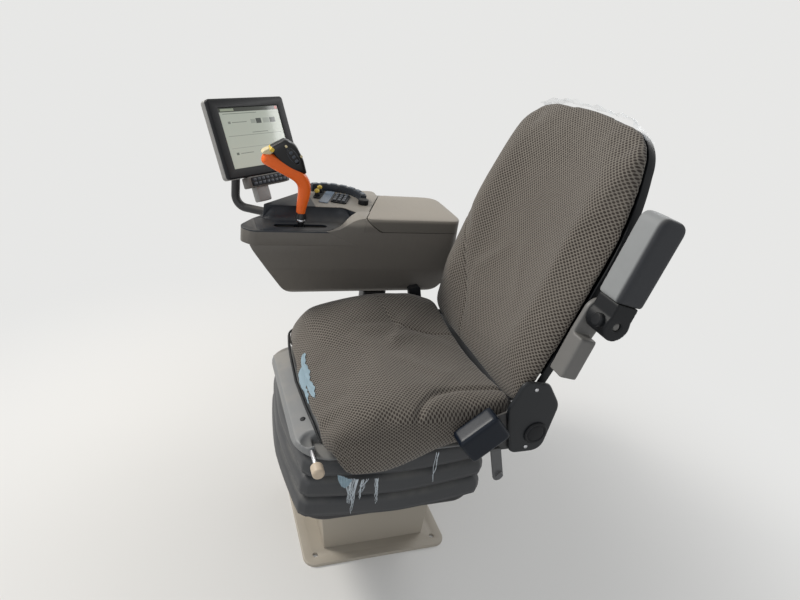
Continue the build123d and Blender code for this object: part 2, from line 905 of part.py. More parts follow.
knob_centre = rest_plane.from_local_coords((0, hub_r - 2, rest_width * 0.62))
with BuildPart() as armrest_knob:
    with BuildSketch(Plane(knob_centre, x_dir=(1, 0, 0), z_dir=(0, -cos(rest), sin(rest)))):
        Circle(14)
    extrude(amount=12)
    chamfer(armrest_knob.faces().sort_by(Axis.Y)[0].edges(), 2.5)
with BuildPart() as knob_seat:
    with BuildSketch(rest_plane):
        Circle(hub_r + seat_gap / 10)
    extrude(amount=rest_width)
save(armrest_knob.part - knob_seat.part, "armrest_knob")

# Console outline from above: near side straight, front tip rounded, outer front corner cut back
console_plan = (
    (console_near_x, console_rear_y),
    (console_near_x, console_front_y + nose_back),
    (nose_x, console_front_y),
    (nose_chamfer_x, console_front_y + nose_chamfer),
    (console_far_x, cutback_y),
    (console_far_x, console_rear_y),
)
console_plan_radii = (34, 30, 26, 60, 70, 50)


def console_outline(inset):
    """Closed outline of the console from above, drawn in by inset."""
    with BuildSketch(mode=Mode.PRIVATE) as face:
        with BuildLine():
            FilletPolyline(*console_plan, radius=console_plan_radii, close=True)
        make_face()
        if inset:
            offset(amount=-inset, kind=Kind.INTERSECTION)
    return face.sketch


deck_near_x = console_near_x - console_wall
deck_far_x = deck_near_x - deck_width
deck_end = (rim_far_x, deck_rear_y)
deck_turn_y = seam_high_y + 2 * deck_width / 3


def deck_outline(inset):
    """Closed outline of the deck plate from above, narrowing to its rear, drawn in by inset."""
    with BuildSketch(mode=Mode.PRIVATE) as face:
        with BuildLine():
            FilletPolyline(
                (deck_near_x, deck_front_y),
                (deck_near_x, seam_high_y),
                (deck_near_x - deck_width / 5, (seam_high_y + deck_rear_y) / 2),
                deck_end,
                (deck_far_x, deck_turn_y),
                (deck_far_x, deck_front_y),
                radius=(14, 40, 40, 6, 30, 14),
                close=True,
            )
        make_face()
        if inset:
            offset(amount=-inset, kind=Kind.INTERSECTION)
    return face.sketch


# Rim of the console: sweeps up from the deck to the arm pad, as shares of its run and of its rise
rim_arcs = (((0, 0), (0.29, 0.13), (0.52, 0.46)), ((0.52, 0.46), (0.75, 0.84), (1, 1)))
rim_end_y = pad_near_y - 3
rim_end_z = pad_top_z - 1
roof_z = deck_z - deck_thickness
seam_slope = (seam_low_y - seam_high_y) / (deck_z - console_crease_z)
roof_front_y = seam_high_y + seam_slope * deck_thickness
with BuildPart() as rim:
    with BuildSketch(Plane.YZ.offset(console_near_x)):
        with BuildLine():
            for arc in rim_arcs:
                ThreePointArc(
                    *[
                        (seam_high_y + run * (rim_end_y - seam_high_y), deck_z + rise * (rim_end_z - deck_z))
                        for run, rise in arc
                    ]
                )
            Polyline(
                (rim_end_y, rim_end_z),
                (pad_far_y, rim_end_z),
                (pad_far_y, roof_z),
                (roof_front_y, roof_z),
                (seam_high_y, deck_z),
            )
        make_face()
    extrude(amount=rim_far_x - console_near_x)
    pad_skew = (pad_far_y - pad_near_y) / (console_near_x - pad_far_x)
    with BuildSketch(Plane.XY.offset(roof_z)):
        with BuildLine():
            Polyline(
                (console_near_x, seam_high_y),
                (rim_far_x, seam_high_y),
                (rim_far_x, rim_end_y + pad_skew * (console_near_x - rim_far_x)),
                (console_near_x, rim_end_y),
                close=True,
            )
        make_face()
    extrude(amount=pad_top_z - roof_z, mode=Mode.INTERSECT)

# Console tub: body, pockets, and a roof that runs up along the seam and back under the deck plate
console_depth = console_rear_y - console_front_y
with BuildPart() as console_tub:
    with BuildSketch(Plane.YZ.offset(console_near_x)):
        with BuildLine():
            FilletPolyline(
                (console_front_y + 2 * tub_step - 2, console_crease_z),
                (console_front_y + 2 * tub_step + 6, console_crease_z - tub_step),
                (tub_foot_front_y, console_bottom_z),
                (tub_foot_rear_y, console_bottom_z),
                (console_rear_y, console_bottom_z + tub_heel),
                (console_rear_y, deck_z),
                (seam_high_y, deck_z),
                (seam_low_y, console_crease_z),
                radius=(2, 12, tub_round, tub_round, tub_round / 2, 2, 0, 0),
                close=True,
            )
        make_face()
    extrude(amount=console_far_x - console_near_x)
    with BuildSketch(Plane.XY.offset(console_bottom_z - 2)):
        add(console_outline(0))
    extrude(amount=deck_z - console_bottom_z + 4, mode=Mode.INTERSECT)
    with BuildSketch(Plane.XZ.offset(-console_front_y + 5)):
        with BuildLine():
            FilletPolyline(
                (console_near_x, deck_z + 2),
                (console_near_x, console_bottom_z + cheek_height),
                (console_near_x - cheek_inset, console_bottom_z - 2),
                (console_far_x + cheek_inset, console_bottom_z - 2),
                (console_far_x, console_bottom_z + cheek_height),
                (console_far_x, deck_z + 2),
                radius=(0.5, tub_round, foot_round, foot_round, tub_round, 0.5),
                close=True,
            )
        make_face()
    extrude(amount=-console_depth - 10, mode=Mode.INTERSECT)
    for front_y, floor_z, rib in (
        (well_pocket_front_y, well_pocket_floor_z, 3),
        (pocket_front_y, pocket_floor_z, 14),
    ):
        with BuildSketch(Plane.XY.offset(floor_z)):
            add(console_outline(console_wall + rib))
            for cut_y, side in ((front_y, Align.MAX), (console_rear_y - tub_round, Align.MIN)):
                with Locations((console_far_x, cut_y)):
                    Rectangle(3 * console_width, console_depth, align=(Align.CENTER, side), mode=Mode.SUBTRACT)
        extrude(amount=deck_z - floor_z + 2, mode=Mode.SUBTRACT)
    with BuildSketch(Plane.YZ.offset(console_near_x - console_wall / 2)):
        with BuildLine():
            Polyline(
                (seam_low_y, console_crease_z),
                (roof_front_y, roof_z),
                (rim_end_y + 2 * console_wall, roof_z),
                (rim_end_y + 2 * console_wall, roof_z - console_wall),
                (roof_front_y + seam_slope * console_wall + 2 * console_wall, roof_z - console_wall),
                (seam_low_y + 2 * console_wall, console_crease_z),
                close=True,
            )
        make_face()
    extrude(amount=deck_far_x - console_near_x - console_wall)
    add(rim.part)
    with BuildSketch(Plane.XY.offset(roof_z)):
        add(deck_outline(0))
    extrude(amount=pad_top_z - roof_z, mode=Mode.SUBTRACT)
save(console_tub.part, "console_tub")

# Deck surround: upper front moulding with the recess for the deck plate and the handle's well
well_half = slot_length / 2 + 6
with BuildPart() as deck_surround:
    with BuildSketch(Plane.YZ.offset(console_near_x)):
        with BuildLine():
            Polyline(
                (console_front_y, console_crease_z),
                (seam_low_y - seat_gap, console_crease_z),
                (seam_high_y - seat_gap, deck_z),
                (console_front_y, deck_z),
                close=True,
            )
        make_face()
    extrude(amount=console_far_x - console_near_x)
    with BuildSketch(Plane.XY.offset(console_crease_z)):
        add(console_outline(0))
    extrude(amount=deck_z - console_crease_z, mode=Mode.INTERSECT)
    with BuildSketch(Plane.XY.offset(roof_z)):
        add(deck_outline(0))
    extrude(amount=deck_thickness, mode=Mode.SUBTRACT)
    with BuildSketch(Plane.XY.offset(console_crease_z)):
        with Locations((handle_x, handle_pivot_y)):
            Rectangle(2 * (handle_hub_width / 2 + slide_gap + ear_thickness + 4), 2 * well_half)
    extrude(amount=deck_z - console_crease_z, mode=Mode.SUBTRACT)
save(deck_surround.part, "deck_surround")

with BuildPart() as console_deck:
    with BuildSketch(Plane.XY.offset(roof_z)):
        add(deck_outline(seat_gap))
        with Locations((handle_x, handle_pivot_y)):
            SlotOverall(slot_length, slot_width, rotation=90, mode=Mode.SUBTRACT)
    extrude(amount=deck_thickness)
save(console_deck.part, "console_deck")

# Handle bearing: a fork under the deck, inside the well
fork_half = handle_hub_width / 2 + slide_gap
with BuildPart() as handle_bearing:
    with BuildSketch(Plane.XZ.offset(-handle_pivot_y - fork_depth / 2)):
        with Locations((handle_x, handle_pivot_z - 22)):
            Rectangle(
                2 * (fork_half + ear_thickness),
                deck_z - deck_thickness - handle_pivot_z + 22,
                align=(Align.CENTER, Align.MIN),
            )
        with Locations((handle_x, handle_pivot_z - 22 + ear_thickness)):
            Rectangle(2 * fork_half, deck_z, align=(Align.CENTER, Align.MIN), mode=Mode.SUBTRACT)
    extrude(amount=fork_depth)
    with BuildSketch(Plane.YZ.offset(handle_x)):
        with Locations((handle_pivot_y, handle_pivot_z)):
            Circle(handle_pin_r + running_gap)
    extrude(amount=fork_half + ear_thickness + 1, both=True, mode=Mode.SUBTRACT)
save(handle_bearing.part, "handle_bearing")

# Drive handle: shaft with its hub and pin, grip and thumb panel drawn in side view about the pivot
grip_outline = (
    (-112, 273),
    (-112, 251),
    (-67, 227),
    (-26, 212),
    (-15, 175),
    (-14, shaft_length),
    (10, shaft_length),
    (18, 176),
    (4, 225),
    (-32, 234),
    (-55, 258),
    (-74, 275),
)
thumb_outline = (
    (4, 225),
    (-32, 234),
    (-55, 258),
    (-74, 275),
    (-88, 292),
    (-54, 311),
    (-28, 298),
    (-7, 264),
    (6, 236),
)
handle_plane = Plane(origin=(handle_x, handle_pivot_y, handle_pivot_z), x_dir=(0, 1, 0), z_dir=(1, 0, 0))
shaft_plane = Plane(origin=(handle_x, handle_pivot_y, handle_pivot_z))
with BuildPart() as handle_shaft:
    with BuildSketch(handle_plane):
        Circle(handle_hub_r)
    extrude(amount=handle_hub_width / 2, both=True)
    with BuildSketch(handle_plane):
        Circle(handle_pin_r)
    extrude(amount=fork_half + ear_thickness, both=True)
    with BuildSketch(shaft_plane):
        Circle(shaft_r)
    extrude(amount=shaft_length)
    with BuildSketch(shaft_plane.offset(shaft_length - collar_length)):
        Circle(handle_hub_r)
    extrude(amount=collar_length, taper=14)
save(handle_shaft.part, "handle_shaft")

with BuildPart() as handle_grip:
    with BuildSketch(handle_plane):
        with BuildLine():
            Polyline(*grip_outline, close=True)
        make_face()
    extrude(amount=grip_width / 2, both=True)
save(handle_grip.part, "handle_grip")

with BuildPart() as handle_thumb_panel:
    with BuildSketch(handle_plane):
        with BuildLine():
            Polyline(*thumb_outline, close=True)
        make_face()
    extrude(amount=grip_width / 2 - 2, both=True)
save(handle_thumb_panel.part, "handle_thumb_panel")

# Button panel: raised outer half of the console in front of the arm pad
panel_outline = (
    (rim_far_x - 3, deck_rear_y),
    (rim_far_x - 3, rim_end_y + pad_skew * (console_near_x - rim_far_x)),
    (pad_far_x - 2, pad_far_y - 3),
    (console_far_x + 5, pad_far_y - 3),
    (console_far_x + 5, cutback_y + 8),
    (nose_chamfer_x - 20, panel_front_y - 10),
    (deck_far_x - 3, panel_front_y),
    (deck_far_x - 3, deck_turn_y + 2),
)
with BuildPart() as button_panel:
    with BuildSketch(Plane.XY.offset(deck_z)):
        with BuildLine():
            FilletPolyline(*panel_outline, radius=(2, 2, 4, 18, 44, 6, 5, 20), close=True)
        make_face()
    extrude(amount=panel_top_z - deck_z, taper=4)
save(button_panel.part, "button_panel")

# Key ridge: raised arc round the keypad, from angle to angle about its centre
with BuildPart() as key_ridge:
    with BuildSketch(Plane.XY.offset(panel_top_z)):
        with BuildLine():
            inner = CenterArc((ridge_x, ridge_y), ridge_inner_r, ridge_from, ridge_sweep)
            outer = CenterArc((ridge_x, ridge_y), ridge_outer_r, ridge_from, ridge_sweep)
            Line(inner @ 0, outer @ 0)
            Line(inner @ 1, outer @ 1)
        make_face()
    extrude(amount=ridge_top_z - panel_top_z)
    for key in range(ridge_keys):
        key_angle = ridge_from + ridge_sweep * (key + 0.5) / ridge_keys
        with BuildSketch(Plane.XY.offset(ridge_top_z)):
            with Locations((ridge_x, ridge_y)):
                with PolarLocations((ridge_inner_r + ridge_outer_r) / 2, 1, key_angle):
                    RectangleRounded(key_depth, key_width, 2)
        extrude(amount=key_height)
save(key_ridge.part, "key_ridge")

# Keypad: a low block with a grid of keys, turned with the strip in front of it
control_plane = Plane(
    origin=(console_near_x - keypad_inset, keypad_y, panel_top_z),
    x_dir=(cos(radians(strip_turn)), sin(radians(strip_turn)), 0),
)
with BuildPart() as keypad:
    with BuildSketch(control_plane):
        RectangleRounded(keypad_length, keypad_width, 9)
    extrude(amount=keypad_height)
    with BuildSketch(control_plane.offset(keypad_height)):
        with GridLocations(pad_key_pitch_x, pad_key_pitch_y, 4, 3):
            RectangleRounded(pad_key_pitch_x - pad_key_gap, pad_key_pitch_y - pad_key_gap, 2)
    extrude(amount=2)
save(keypad.part, "keypad")

with BuildPart() as touch_strip:
    with BuildSketch(control_plane):
        with Locations((0, -strip_setback)):
            RectangleRounded(strip_length, strip_width, 5)
    extrude(amount=3)
save(touch_strip.part, "touch_strip")

with BuildPart() as toggles:
    with BuildSketch(control_plane):
        with Locations((-toggle_spread / 5, -toggle_setback)):
            RectangleRounded(toggle_base_length, toggle_base_width, 6)
    extrude(amount=4)
    with BuildSketch(control_plane.offset(4)):
        with Locations((-toggle_spread / 5, -toggle_setback)):
            with GridLocations(toggle_spread, 1, 2, 1):
                Circle(toggle_r)
    extrude(amount=toggle_height, taper=6)
save(toggles.part, "toggles")

with BuildPart() as dial:
    with BuildSketch(Plane.XY.offset(panel_top_z)):
        with Locations((dial_x, dial_y)):
            Circle(dial_r)
    extrude(amount=dial_height)
    chamfer(dial.faces().sort_by(Axis.Z)[-1].edges(), 1.5)
save(dial.part, "dial")

# Arm pad on the console's rear half, its front edge skewed
with BuildPart() as arm_pad:
    with BuildSketch(Plane.XY.offset(deck_z)):
        with BuildLine():
            FilletPolyline(
                (console_near_x, pad_near_y),
                (pad_far_x, pad_far_y),
                (pad_far_x, console_rear_y),
                (console_near_x, console_rear_y),
                radius=(22, 26, 40, 34),
                close=True,
            )
        make_face()
    extrude(amount=pad_top_z - deck_z)
    fillet(arm_pad.faces().sort_by(Axis.Z)[-1].edges(), 12)
save(arm_pad.part, "arm_pad")

# Outer ledge of the console beside the arm pad
with BuildPart() as console_ledge:
    with BuildSketch(Plane.XY.offset(deck_z)):
        with BuildLine():
            FilletPolyline(
                (pad_far_x - 1, pad_far_y),
                (console_far_x + 3, pad_far_y),
                (console_far_x + 3, console_rear_y - 20),
                (pad_far_x - 1, console_rear_y - 4),
                radius=(2, 6, 20, 2),
                close=True,
            )
        make_face()
    extrude(amount=ledge_height)
save(console_ledge.part, "console_ledge")

# Console bracket: beam from the right side plate, round the seat, up to the post's guide
beam_x = cross_half + side_plate_thickness
with BuildPart() as console_bracket:
    with BuildSketch(Plane.XY.offset(pan_z - cross_height)):
        with BuildLine():
            FilletPolyline(
                (-beam_x, cross_y - cross_depth / 2),
                (-beam_x, cross_y + cross_depth / 2),
                (post_x - post_width / 2, cross_y + cross_depth / 2),
                (post_x - post_width / 2, post_y),
                (post_x + post_width / 2, post_y),
                (post_x + post_width / 2, cross_y - cross_depth / 2),
                radius=(1, 1, 26, 1, 1, 14),
                close=True,
            )
        make_face()
    extrude(amount=cross_height)
    with BuildSketch(Plane.XY.offset(pan_z - cross_height)):
        with Locations((post_x, post_y)):
            RectangleRounded(post_width + 2 * guide_wall, post_depth + 2 * guide_wall, 8)
    extrude(amount=guide_height)
    with BuildSketch(Plane.XY.offset(pan_z - cross_height)):
        with Locations((post_x, post_y)):
            RectangleRounded(post_width + slide_gap, post_depth + slide_gap, 4)
    extrude(amount=guide_height, mode=Mode.SUBTRACT)
save(console_bracket.part, "console_bracket")

with BuildPart() as console_post:
    with BuildSketch(Plane.XY.offset(pan_z - cross_height + 12)):
        with Locations((post_x, post_y)):
            RectangleRounded(post_width, post_depth, 4)
    extrude(amount=console_bottom_z - pan_z + cross_height - 12)
    with BuildSketch(Plane.XY.offset(console_bottom_z)):
        with Locations((post_x, post_y)):
            RectangleRounded(post_width + 2 * post_flange, post_depth + 2 * post_flange, 8)
    extrude(amount=-5)
save(console_post.part, "console_post")

# Display: frame with a window, screen behind it, bevelled housing, tilted towards the operator
turn = radians(display_turn)
tip = radians(display_tilt)
display_plane = Plane(
    origin=(display_x, display_y, display_z),
    x_dir=(-cos(turn), sin(turn), 0),
    z_dir=(sin(turn) * cos(tip), cos(turn) * cos(tip), sin(tip)),
)
bezel_width = screen_width + 2 * bezel_side
bezel_height = screen_height + 2 * bezel_end
with BuildPart() as display_bezel:
    with BuildSketch(display_plane.offset(-bezel_thickness)):
        RectangleRounded(bezel_width, bezel_height, 9)
        Rectangle(screen_width, screen_height, mode=Mode.SUBTRACT)
    extrude(amount=bezel_thickness)
    bezel_face = display_bezel.faces().sort_by(Axis((0, 0, 0), tuple(display_plane.z_dir)))[-1]
    chamfer(bezel_face.outer_wire().edges(), 3)
save(display_bezel.part, "display_bezel")

with BuildPart() as display_screen:
    with BuildSketch(display_plane.offset(-bezel_thickness)):
        Rectangle(screen_width - 2 * seat_gap, screen_height - 2 * seat_gap)
    extrude(amount=bezel_thickness - screen_sunk)
save(display_screen.part, "display_screen")

with BuildPart() as display_housing:
    for inset, front, back, mode in ((0, 0, 0, Mode.ADD), (display_wall, 0, display_wall, Mode.SUBTRACT)):
        with BuildSketch(display_plane.offset(-bezel_thickness)):
            RectangleRounded(bezel_width - 2 * inset, bezel_height - 2 * inset, 9 - inset)
        with BuildSketch(display_plane.offset(-bezel_thickness - display_shoulder)):
            RectangleRounded(bezel_width - 2 * inset, bezel_height - 2 * inset, 9 - inset)
        with BuildSketch(display_plane.offset(-bezel_thickness - display_depth + back)):
            RectangleRounded(bezel_width - 60 - 2 * inset, bezel_height - 60 - 2 * inset, 9 - inset)
        loft(ruled=True, mode=mode)
save(display_housing.part, "display_housing")

with BuildPart() as display_keys:
    with BuildSketch(display_plane.offset(-24)):
        with Locations((0, -bezel_height / 2 - keys_height / 2)):
            RectangleRounded(keys_width, keys_height, 6)
    extrude(amount=26)
    with BuildSketch(display_plane.offset(2)):
        with Locations((0, -bezel_height / 2 - keys_height / 2)):
            with GridLocations(20, 1, 7, 1):
                Circle(6)
    extrude(amount=2)
save(display_keys.part, "display_keys")

# Display hinge: two ears on the housing and a pin through the arm's head
hinge_centre = display_plane.from_local_coords((0, 0, -hinge_reach))
ear_foot = bezel_thickness + display_depth
with BuildPart() as display_hinge:
    for side in (1, -1):
        ear_plane = Plane(
            origin=display_plane.from_local_coords((side * (head_half + slide_gap), 0, 0)),
            x_dir=tuple(display_plane.z_dir),
            z_dir=tuple(display_plane.x_dir),
        )
        with BuildSketch(ear_plane):
            with Locations((-(hinge_reach + ear_foot) / 2, 0)):
                Rectangle(hinge_reach - ear_foot, 26)
            with Locations((-hinge_reach, 0)):
                Circle(13)
        extrude(amount=side * 6)
    with BuildSketch(Plane(origin=hinge_centre, z_dir=tuple(display_plane.x_dir))):
        Circle(hinge_pin_r)
    extrude(amount=head_half + slide_gap + 6, both=True)
save(display_hinge.part, "display_hinge")

# Display arm: flange on the console's cut-back front wall, bent tube and the head the ears straddle
wall_start, wall_end = (Vector(*corner, (console_crease_z + deck_z) / 2) for corner in console_plan[3:5])
wall_run = wall_end - wall_start
flange_plane = Plane(
    origin=wall_start + wall_run * arm_foot_share, x_dir=wall_run, z_dir=(-wall_run.Y, wall_run.X, 0)
)
tube_start = flange_plane.from_local_coords((0, 0, arm_flange_thickness / 2))
with BuildPart() as display_arm:
    with BuildSketch(flange_plane):
        RectangleRounded(56, 34, 6)
    extrude(amount=arm_flange_thickness)
    with BuildLine():
        FilletPolyline(
            tuple(tube_start),
            (hinge_centre.X, hinge_centre.Y, tube_start.Z),
            (hinge_centre.X, hinge_centre.Y, hinge_centre.Z - 6),
            radius=arm_bend,
        )
    with BuildSketch(
        Plane(origin=tube_start, z_dir=(hinge_centre.X - tube_start.X, hinge_centre.Y - tube_start.Y, 0))
    ):
        Circle(arm_tube_r)
    sweep()
    with BuildSketch(Plane(origin=hinge_centre, z_dir=tuple(display_plane.x_dir))):
        Circle(15)
    extrude(amount=head_half, both=True)
    with BuildSketch(Plane(origin=hinge_centre, z_dir=tuple(display_plane.x_dir))):
        Circle(hinge_pin_r + running_gap)
    extrude(amount=head_half + 1, both=True, mode=Mode.SUBTRACT)
save(display_arm.part, "display_arm")

# Suspension height lever: bar out of the cover's near corner with a round knob
lever_y = ridge_front_y + lever_inset
lever_z = plate_top_z + ridge_front_height + ridge_slope * lever_inset - lever_r - lever_drop
with BuildPart() as height_lever:
    with BuildSketch(Plane.YZ.offset(lip_half_width)):
        with Locations((lever_y, lever_z)):
            Circle(lever_r)
    extrude(amount=lever_length)
save(height_lever.part, "height_lever")

with BuildPart() as lever_knob:
    with BuildSketch(Plane.YZ.offset(lip_half_width + lever_length)):
        with Locations((lever_y, lever_z)):
            Circle(knob_r)
    extrude(amount=knob_length)
    chamfer(lever_knob.edges().filter_by(GeomType.CIRCLE), 4)
save(lever_knob.part, "lever_knob")
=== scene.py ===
"""Looks of a combine harvester operator's seat with its control armrest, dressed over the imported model."""

import json
import logging
from dataclasses import dataclass
from enum import Enum
from math import cos, pi, radians, sin, tau
from typing import Callable

import bmesh
import bpy
import numpy as np
from mathutils import Matrix, Vector

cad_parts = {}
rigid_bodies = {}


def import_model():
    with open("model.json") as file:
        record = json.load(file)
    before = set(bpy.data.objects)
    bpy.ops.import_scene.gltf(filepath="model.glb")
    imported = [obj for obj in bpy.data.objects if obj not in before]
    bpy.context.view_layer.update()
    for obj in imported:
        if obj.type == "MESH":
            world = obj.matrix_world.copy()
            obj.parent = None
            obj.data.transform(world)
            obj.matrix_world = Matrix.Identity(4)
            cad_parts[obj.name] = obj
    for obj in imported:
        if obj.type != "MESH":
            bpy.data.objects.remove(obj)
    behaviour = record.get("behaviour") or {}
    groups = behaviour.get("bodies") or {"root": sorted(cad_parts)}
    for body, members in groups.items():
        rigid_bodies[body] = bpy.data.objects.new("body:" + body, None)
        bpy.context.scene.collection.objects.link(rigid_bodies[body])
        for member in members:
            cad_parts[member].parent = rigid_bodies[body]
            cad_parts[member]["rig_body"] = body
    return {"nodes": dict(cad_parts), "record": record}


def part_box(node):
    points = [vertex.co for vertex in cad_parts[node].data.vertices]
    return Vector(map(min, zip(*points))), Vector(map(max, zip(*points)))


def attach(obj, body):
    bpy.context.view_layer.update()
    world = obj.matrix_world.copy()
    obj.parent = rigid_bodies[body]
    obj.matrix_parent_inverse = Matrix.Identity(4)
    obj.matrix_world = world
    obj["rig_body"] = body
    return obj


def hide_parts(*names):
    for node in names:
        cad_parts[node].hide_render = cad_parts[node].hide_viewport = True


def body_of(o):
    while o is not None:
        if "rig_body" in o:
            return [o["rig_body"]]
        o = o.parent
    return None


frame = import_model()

log = logging.getLogger("operator_seat")
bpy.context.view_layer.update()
Colour = tuple[float, float, float]
Point = tuple[float, float, float]
Piece = bpy.types.Object

DUST = (0.42, 0.38, 0.32)
BACK_LEAN = radians(16.6)
BACK_FOOT = np.array((0.0, 0.238, 0.482))
BACK_AXES = np.array(((1, 0, 0), (0, sin(BACK_LEAN), cos(BACK_LEAN)), (0, -cos(BACK_LEAN), sin(BACK_LEAN))))


class Body(Enum):
    """The moving bodies of the frame."""

    BASE = "base"
    SEAT = "seat"
    BACK = "backrest"
    REST = "left_armrest"
    CONSOLE = "console"
    HANDLE = "drive_handle"
    DISPLAY = "display"


def joined(operation: str, swapped: bool = False) -> Callable[["Term", object], "Term"]:
    """Method that adds a Math node of that operation, its inputs swapped for a reflected form."""

    def method(self: "Term", other: object) -> "Term":
        """Result of the Math node on this number and the other."""
        return self.math(operation, *((other, self) if swapped else (self, other)))

    return method


class Term:
    """A number inside a material: a node's socket that Python's operators join to others."""

    __add__, __radd__ = joined("ADD"), joined("ADD", True)
    __sub__, __rsub__ = joined("SUBTRACT"), joined("SUBTRACT", True)
    __mul__, __rmul__ = joined("MULTIPLY"), joined("MULTIPLY", True)
    __truediv__, __pow__ = joined("DIVIDE"), joined("POWER")
    least, most = joined("MINIMUM"), joined("MAXIMUM")

    def __init__(self, graph: "Graph", socket: bpy.types.NodeSocket) -> None:
        """Hold a socket of a graph."""
        self.graph = graph
        self.socket = socket

    def math(self, operation: str, *values: object) -> "Term":
        """Add a Math node on the values and return its result."""
        node = self.graph.node("ShaderNodeMath", {"operation": operation}, dict(enumerate(values)))
        return Term(self.graph, node.outputs[0])

    def __abs__(self) -> "Term":
        """Size without sign."""
        return self.math("ABSOLUTE", self)

    def wave(self) -> "Term":
        """Sine."""
        return self.math("SINE", self)

    def part(self) -> "Term":
        """Fraction above the whole number below."""
        return self.math("FRACT", self)

    def rise(self, low: float, high: float) -> "Term":
        """Smooth step from 0 at low to 1 at high, or down where low is above high."""
        if low > high:
            return 1.0 - self.rise(high, low)
        values = {0: self, 1: low, 2: high, 3: 0.0, 4: 1.0}
        node = self.graph.node("ShaderNodeMapRange", {"interpolation_type": "SMOOTHSTEP"}, values)
        return Term(self.graph, node.outputs[0])


def opaque(colour: object) -> object:
    """A colour's three parts with a full fourth one; a socket stays as it is."""
    return (*colour, 1.0) if isinstance(colour, tuple) else colour


class Graph:
    """A material's nodes, ending in one Principled surface."""

    def __init__(self, name: str) -> None:
        """Start an empty material of that name."""
        self.material = bpy.data.materials.new(name)
        self.material.use_nodes = True
        self.tree = self.material.node_tree
        self.tree.nodes.clear()
        self.out = self.node("ShaderNodeOutputMaterial")
        self.place = self.node("ShaderNodeTexCoord").outputs["Object"]

    def node(self, kind: str, settings: dict | None = None, values: dict | None = None) -> bpy.types.Node:
        """Add a node.

        Args:
            kind: the node's type.
            settings: its settings, which are set before its sockets.
            values: value, Term or socket of each input, by name or number.

        Returns:
            The node.
        """
        node = self.tree.nodes.new(kind)
        for key, value in (settings or {}).items():
            setattr(node, key, value)
        for key, value in (values or {}).items():
            if isinstance(value, Term):
                value = value.socket
            if isinstance(value, bpy.types.NodeSocket):
                self.tree.links.new(value, node.inputs[key])
            else:
                node.inputs[key].default_value = value
        return node

    def noise(self, size: float, detail: float = 3.0, where: object = None) -> Term:
        """Noise of about that size in metres, from 0 to 1."""
        values = {"Vector": where or self.place, "Scale": 1.0 / size, "Detail": detail, "Roughness": 0.55}
        return Term(self, self.node("ShaderNodeTexNoise", None, values).outputs[0])

    def scaled(self, scale: Point) -> object:
        """Object coordinates scaled by a Mapping node."""
        return self.node("ShaderNodeMapping", None, {"Vector": self.place, "Scale": scale}).outputs[0]

    def axes(self, where: object = None) -> tuple[Term, Term, Term]:
        """The three parts of a vector."""
        split = self.node("ShaderNodeSeparateXYZ", None, {0: where or self.place})
        return tuple(Term(self, socket) for socket in split.outputs)

    def upward(self) -> Term:
        """How far the surface faces up, from -1 to 1."""
        normal = self.node("ShaderNodeNewGeometry").outputs["Normal"]
        return self.axes(normal)[2]

    def mix(self, share: object, first: object, second: object) -> object:
        """Colour from first to second."""
        values = {0: share, 6: opaque(first), 7: opaque(second)}
        return self.node("ShaderNodeMix", {"data_type": "RGBA"}, values).outputs[2]

    def bump(self, height: Term, depth: float) -> object:
        """Normal bent by a height from 0 to 1 that is depth metres high."""
        values = {"Height": height, "Distance": depth, "Strength": 1.0}
        return self.node("ShaderNodeBump", None, values).outputs[0]

    def finish(self, colour: object, roughness: object, **values: object) -> bpy.types.Material:
        """Close the material with a Principled surface.

        Args:
            colour: base colour.
            roughness: roughness.
            values: other sockets by name, with _ for a space.

        Returns:
            The material.
        """
        names = {key.replace("_", " "): value for key, value in values.items()}
        names["Base Color"] = opaque(colour)
        surface = self.node("ShaderNodeBsdfPrincipled", None, {"Roughness": roughness, **names})
        self.tree.links.new(surface.outputs[0], self.out.inputs["Surface"])
        return self.material


@dataclass(frozen=True)
class Moulding:
    """Moulded plastic: fine grain, rubbed patches and a little dust where it faces up."""

    colour: Colour
    roughness: float = 0.5
    grain: float = 0.00006
    pitch: float = 0.0009
    dust: float = 0.25
    dust_colour: Colour = DUST
    shine: float = 0.4
    second: Colour | None = None
    zone: tuple[tuple[int, float, float], ...] = ()

    def material(self, name: str) -> bpy.types.Material:
        """Make the material of that name."""
        g = Graph(name)
        patches = g.noise(0.11, 5.0)
        streaks = g.noise(0.03, 4.0, g.scaled((1.0, 4.0, 1.0)))
        settled = g.upward().rise(0.2, 1.0) * patches.rise(0.35, 0.75) * self.dust
        shade = g.mix(streaks * 0.5, self.colour, tuple(c * 0.78 for c in self.colour))
        # A second colour inside a zone; on the console's rim, pad and panel it is painted sunlight on their
        # tops.
        if self.second:
            axes = g.axes()
            inside = None
            for axis, low, high in self.zone:
                step = axes[axis].rise(low, high)
                inside = step if inside is None else inside * step
            other = g.mix(streaks * 0.4, self.second, tuple(c * 0.8 for c in self.second))
            shade = g.mix(inside, shade, other)
        colour = g.mix(settled, shade, self.dust_colour)
        rough = settled * 0.5 + (patches - 0.5) * 0.14 + self.roughness
        normal = g.bump(g.noise(self.pitch, 2.0), self.grain)
        return g.finish(colour, rough, Normal=normal, Specular_IOR_Level=self.shine)


